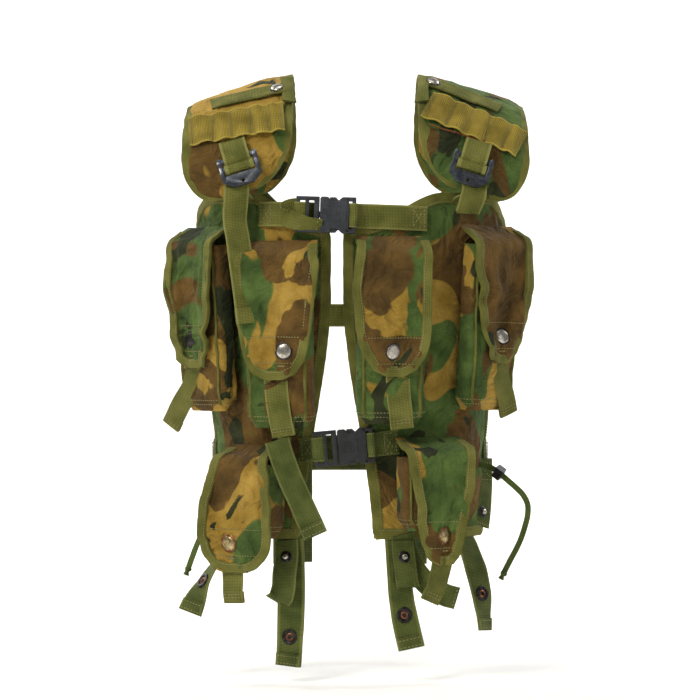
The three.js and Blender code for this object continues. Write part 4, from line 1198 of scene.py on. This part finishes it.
tail = freeTail("chest", 1.6)
ribbon("chest_tail", "chest_plug", webOlive, tail, (22, 21, 18, 15, 15), 2.0, wave=1.0, seed=3.0)
sewAcross("chest_plug", tail, tail[-1]["run"] - 4, 6.5, lift=-1.2)

ribbon("waist_tail_fold", "vest", webGreen, freeTail("waistFold", 2), 25, 1.9, wave=0.4)
tail = freeTail("waist", 2.5)
ribbon("waist_tail", "vest", webGreen, tail, 25, 1.9, wave=0.9, seed=6.0)
ribbon("waist_tail_hem", "vest", webGreen, lastStretch(tail, 14, 1.9), 24.4, 1.9, wave=0.3)
for run in (3, 11):
    sewAcross("vest", tail, tail[-1]["run"] - run, 11, lift=3.0)
print("closure webs threaded")


# belt straps
beltStraps = {
    "inner_L": {"x": -60, "foot": (-62, -102, -318), "width": 28, "bow": (2, -3),
                "curl": 0.10, "snapRise": 30},
    "outer_L": {"x": -116, "foot": (-162, -88, -266), "width": 26, "bow": (-5, -4),
                "curl": -0.25, "snapRise": 34},
    "inner_R": {"x": 48, "foot": (62, -106, -300), "width": 27, "bow": (-4, -3),
                "curl": 0.15, "snapRise": 34},
    "outer_R": {"x": 116, "foot": (136, -88, -284), "width": 26, "bow": (5, -4),
                "curl": -0.15, "snapRise": 38},
}
for key, spec in beltStraps.items():
    body = "belt_strap_" + key
    angle = angleAt(spec["x"], panel["bottom"])
    normal = torsoNormal(angle, panel["bottom"])
    top = torsoPoint(angle, panel["bottom"] - 0.9, 1.5)
    foot = at(*spec["foot"])
    level = at(normal.y, -normal.x, 0)
    points, sides = [], []
    for share in (0, 0.12, 0.35, 0.6, 0.8, 1):
        bow = math.sin(math.pi * share)
        points.append(top.lerp(foot, share) + at(spec["bow"][0] * bow, spec["bow"][1] * bow, 0))
        sides.append(Matrix.Rotation(spec["curl"] * math.sin(share * 4.5) * 2, 3, "Z") @ level)
    line = layLine(points, sides, step=2.5)
    ribbon(body + "_web", body, webGreen, line, spec["width"], 1.9, wave=0.9, seed=len(key) + spec["x"],
           replaced=[body])
    end = line[-1]["run"]
    ribbon(body + "_hem", body, webGreen, lastStretch(line, 13, 1.9, False), spec["width"] - 0.8, 1.9, wave=0.3)
    for fromEnd in (10.5, 3):
        sewAcross(body, line, end - fromEnd, spec["width"] / 2 - 2, lift=3.0)

    # the snap's socket: an open dark ring with its spring inside
    spot = min(line, key=lambda s: abs(s["run"] - (end - spec["snapRise"])))
    centre = spot["at"] + spot["out"] * 1.2
    snap = body.replace("_strap_", "_snap_")
    turned(snap + "_ring", body, blackened, centre, spot["out"],
           [(7.6, -0.4), (8.1, 0.2), (8.0, 0.9), (7.2, 1.5), (5.8, 1.7), (4.6, 1.3), (4.2, 0.5)],
           finish="snap_metal", replaced=[snap])
    turned(snap + "_spring", body, copper, centre, spot["out"],
           [(4.3, 0.1), (3.6, 1.0), (2.7, 1.1), (2.2, 0.5), (1.2, 0.4), (0.3, 0.5)], finish="snap_metal")


# what the belt straps are sewn to: short webs on the panels, folded pieces with a stud, and loose ends
def panelWeb(name, body, mat, rows, width, hangs=(), studAt=None, box=None, out=5.2, wave=0.7):
    points = [onTorso(x, z, out) for x, z in rows] + [at(*p) for p in hangs]
    sides = [at(-1, -torsoNormal(angleAt(x, z), z).x, 0) for x, z in rows]
    line = layLine(points, sides + sides[-1:] * len(hangs), step=2.5)
    ribbon(name, body, mat, line, width, 1.9, wave=wave, seed=rows[0][0])
    if box:
        sewBox(body, line, box[0], box[1], width / 2 - 2.5)
    sewAcross(body, line, line[-1]["run"] - 3, width / 2 - 2)
    if studAt:
        spot = min(line, key=lambda s: abs(s["run"] - studAt))
        centre = spot["at"] + spot["out"] * 1.1
        turned(name + "_stud_base", body, blackened, centre, spot["out"],
               [(5.6, -0.3), (5.9, 0.5), (5.2, 1.0), (3.4, 1.2)], finish="snap_metal")
        turned(name + "_stud", body, nickel, centre, spot["out"],
               [(2.9, 1.0), (2.5, 2.0), (2.8, 3.0), (2.2, 3.8), (0.4, 4.1)], finish="snap_metal")


panelWeb("belt_web_outer_R", "vest", webGreen, [(134, -112), (134, -140), (132, -165), (130, -181)], 25,
         studAt=56, box=(4, 22), out=4.6)
panelWeb("belt_web_outer_L", "vest", webGreen, [(-126, -142), (-128, -160), (-129, -182)], 24,
         out=4.6, box=(4, 20))
panelWeb("belt_fold_inner_L", "belt_strap_inner_L", webGreen, [(-63, -192)], 25,
         hangs=[(-64, -101, -208), (-66, -106, -226), (-67, -109, -240), (-70, -106, -249), (-76, -101, -252)],
         studAt=18, wave=1.2)
panelWeb("belt_fold_inner_R", "belt_strap_inner_R", webGreen, [(52, -192)], 23,
         hangs=[(54, -104, -206), (56, -106, -222), (57.5, -108, -234), (59, -105, -238), (58, -102, -232)],
         studAt=16, wave=0.9)
panelWeb("belt_loose_end_R", "vest", webGreen, [(52, -186)], 23,
         hangs=[(57, -95, -204), (66, -95.5, -222), (80, -96, -238), (95, -94, -247), (108, -91, -251)],
         wave=1.4)
panelWeb("side_web_L", "vest", webOlive, [(-134, 52), (-138, 44), (-140, 34)], 16,
         hangs=[(-168, -58, 36), (-174, -62, 30)], wave=1.2)
print("belt straps hung")


# back harness
# the heights are where the straps lie on the back; a cross web has its height and width
back = {
    "strapX": 62,
    "width": 44,
    "heights": [110, 75, 40, 0, -40, -80, -120, -160, -195, -232],
    "crosses": {"upper": (38, 25), "lower": (-112, 38)},
}


def onBack(x, z, out):
    return torsoPoint(math.pi - angleAt(x, z), z, out)


for side in "LR":
    sign = pads[side]["sign"]
    points, sides = [], []
    for v in (0.9, 0.95, 1):
        points.append(padPlace(side, 0, v, pads["thick"] / 2 + 1.3))
        sides.append(padAxes(side, v)[1])
    for z in back["heights"]:
        x = sign * back["strapX"]
        points.append(onBack(x, z, 1.4))
        normal = torsoNormal(math.pi - angleAt(x, z), z)
        sides.append(at(-normal.y, normal.x, 0))
    line = layLine(points, [s if s.x > 0 else -s for s in sides], step=3)
    harness = nylonWebbing("broadHarnessWebbing" + side, "#434d25", "#5f6737", "#7a7a45", 0.022, 0.0018)
    ribbon("back_strap_" + side + "_web", "vest", harness, line, back["width"], 2.0, wave=0.8, seed=sign,
           replaced=["back_strap_" + side])
    ribbon("back_strap_" + side + "_hem", "vest", harness, lastStretch(line, 20, 2.0, False), back["width"] - 1, 1.9,
           wave=0.3)
    sewBox("vest", line, line[-1]["run"] - 17, line[-1]["run"] - 4, 18, lift=3.1)
    sewBox("vest", line, 4, 30, 18, lift=1.3)

broadCross = nylonWebbing("broadCrossWebbing", "#434d25", "#5f6737", "#7a7a45", 0.019, 0.0018)
for name, (z, width) in back["crosses"].items():
    start = panel["outerAngle"] - 0.12
    angles = [mix(start, 2 * math.pi - start, k / 60) for k in range(61)]
    points = [torsoPoint(a, z, 4.3) for a in angles]
    line = layLine(points, [at(0, 0, -1)] * 61, step=3)
    ribbon("back_cross_" + name + "_web", "vest", broadCross if name == "lower" else webOlive, line, width, 1.9,
           wave=0.7, seed=width, replaced=["back_cross_" + name])
    for run in (8, 22, line[-1]["run"] - 22, line[-1]["run"] - 8):
        sewAcross("vest", line, run, width / 2 - 2)
    sewBox("vest", line, 4, 20, width / 2 - 3)
    sewBox("vest", line, line[-1]["run"] - 20, line[-1]["run"] - 4, width / 2 - 3)
    for strapX in (-back["strapX"], back["strapX"]):
        crossing = [s["run"] for s in line if s["at"].y > 0 and abs(s["at"].x - strapX) < 18]
        sewBox("vest", line, crossing[0], crossing[-1], width / 2 - 3)
print("back harness sewn")


# floor, backdrop and lights
def softLight(name, place, target, size, watts, tint="#ffffff"):
    lamp = bpy.data.lights.new(name, "AREA")
    lamp.size = size
    lamp.energy = watts
    lamp.color = linear(tint)[:3]
    light = bpy.data.objects.new(name, lamp)
    light.location = place
    light.rotation_euler = (Vector(target) - Vector(place)).to_track_quat("-Z", "Y").to_euler()
    light.visible_camera = False
    bpy.context.collection.objects.link(light)


foot, bend = studio["backdrop"] - studio["backdropBend"], studio["backdropBend"]
sweepLine = [(studio["floorFront"], 0.0), (foot, 0.0)]
sweepLine += [(foot + bend * math.sin(a * math.pi / 32), bend - bend * math.cos(a * math.pi / 32))
              for a in range(1, 17)]
sweep = []
for depth, height in sweepLine + [(studio["backdrop"], studio["backdropTop"])]:
    sweep += [(sign * studio["backdropHalf"], depth, studio["floor"] + height) for sign in (-1, 1)]
sweepFaces = [(i, i + 1, i + 3, i + 2) for i in range(0, len(sweep) - 2, 2)]
sweepMesh = bpy.data.meshes.new("studioSweep")
sweepMesh.from_pydata(sweep, [], sweepFaces)
sweepMesh.shade_smooth()
backdrop = bpy.data.objects.new("studioSweep", sweepMesh)
bpy.context.collection.objects.link(backdrop)
paperMat, paperShader = newMaterial("matBackdropPaper", Roughness=0.95)
# Matt backdrop paper, with the faint clouding of its fibres.
paperPlace = addNode(paperMat, "TexCoord", {}, out="Object")
fibres = addNode(paperMat, "TexNoise", {"Vector": paperPlace, "Scale": 9, "Detail": 4})
plug(paperMat, addNode(paperMat, "ValToRGB", {"Fac": fibres}, stops=[(0.2, "#f2f1ef"), (0.8, "#f6f5f3")]),
     paperShader, "Base Color")
sweepMesh.materials.append(paperMat)

softLight("keyLight", (-1.5, -1.9, 1.9), (0, 0, 0), 0.9, 52, "#fffaf0")
softLight("fillLight", (1.9, -1.8, 0.5), (0, 0, 0), 1.6, 5, "#fbfaf6")
softLight("topLight", (0.0, -0.3, 2.0), (0, 0, 0), 1.2, 11)
for side in (-1, 1):
    softLight("backdropLight" + str(side), (side * 3.2, 1.6, 2.8), (side * 1.4, 4.6, 0.6), 2.2, 190)
    softLight("rearLight" + str(side), (side * 1.6, 2.2, 1.2), (0, 0, 0), 1.2, 16)
world = bpy.data.worlds.new("studioWorld")
bpy.context.scene.world = world
world.use_nodes = True
sky = world.node_tree.nodes["Background"]
sky.inputs["Color"].default_value = linear("#f6f5f2")
sky.inputs["Strength"].default_value = studio["worldStrength"]
bpy.context.scene.view_settings.view_transform = "Standard"
print("studio lit")

# every seam's stitches, one mesh for each body and thread
for (body, mat), (verts, faces) in stitches.items():
    makePiece("stitching_" + body + ("" if mat == thread else "_" + mat.name), body, mat, verts, faces,
              finish="webbing")
print("seams sewn")
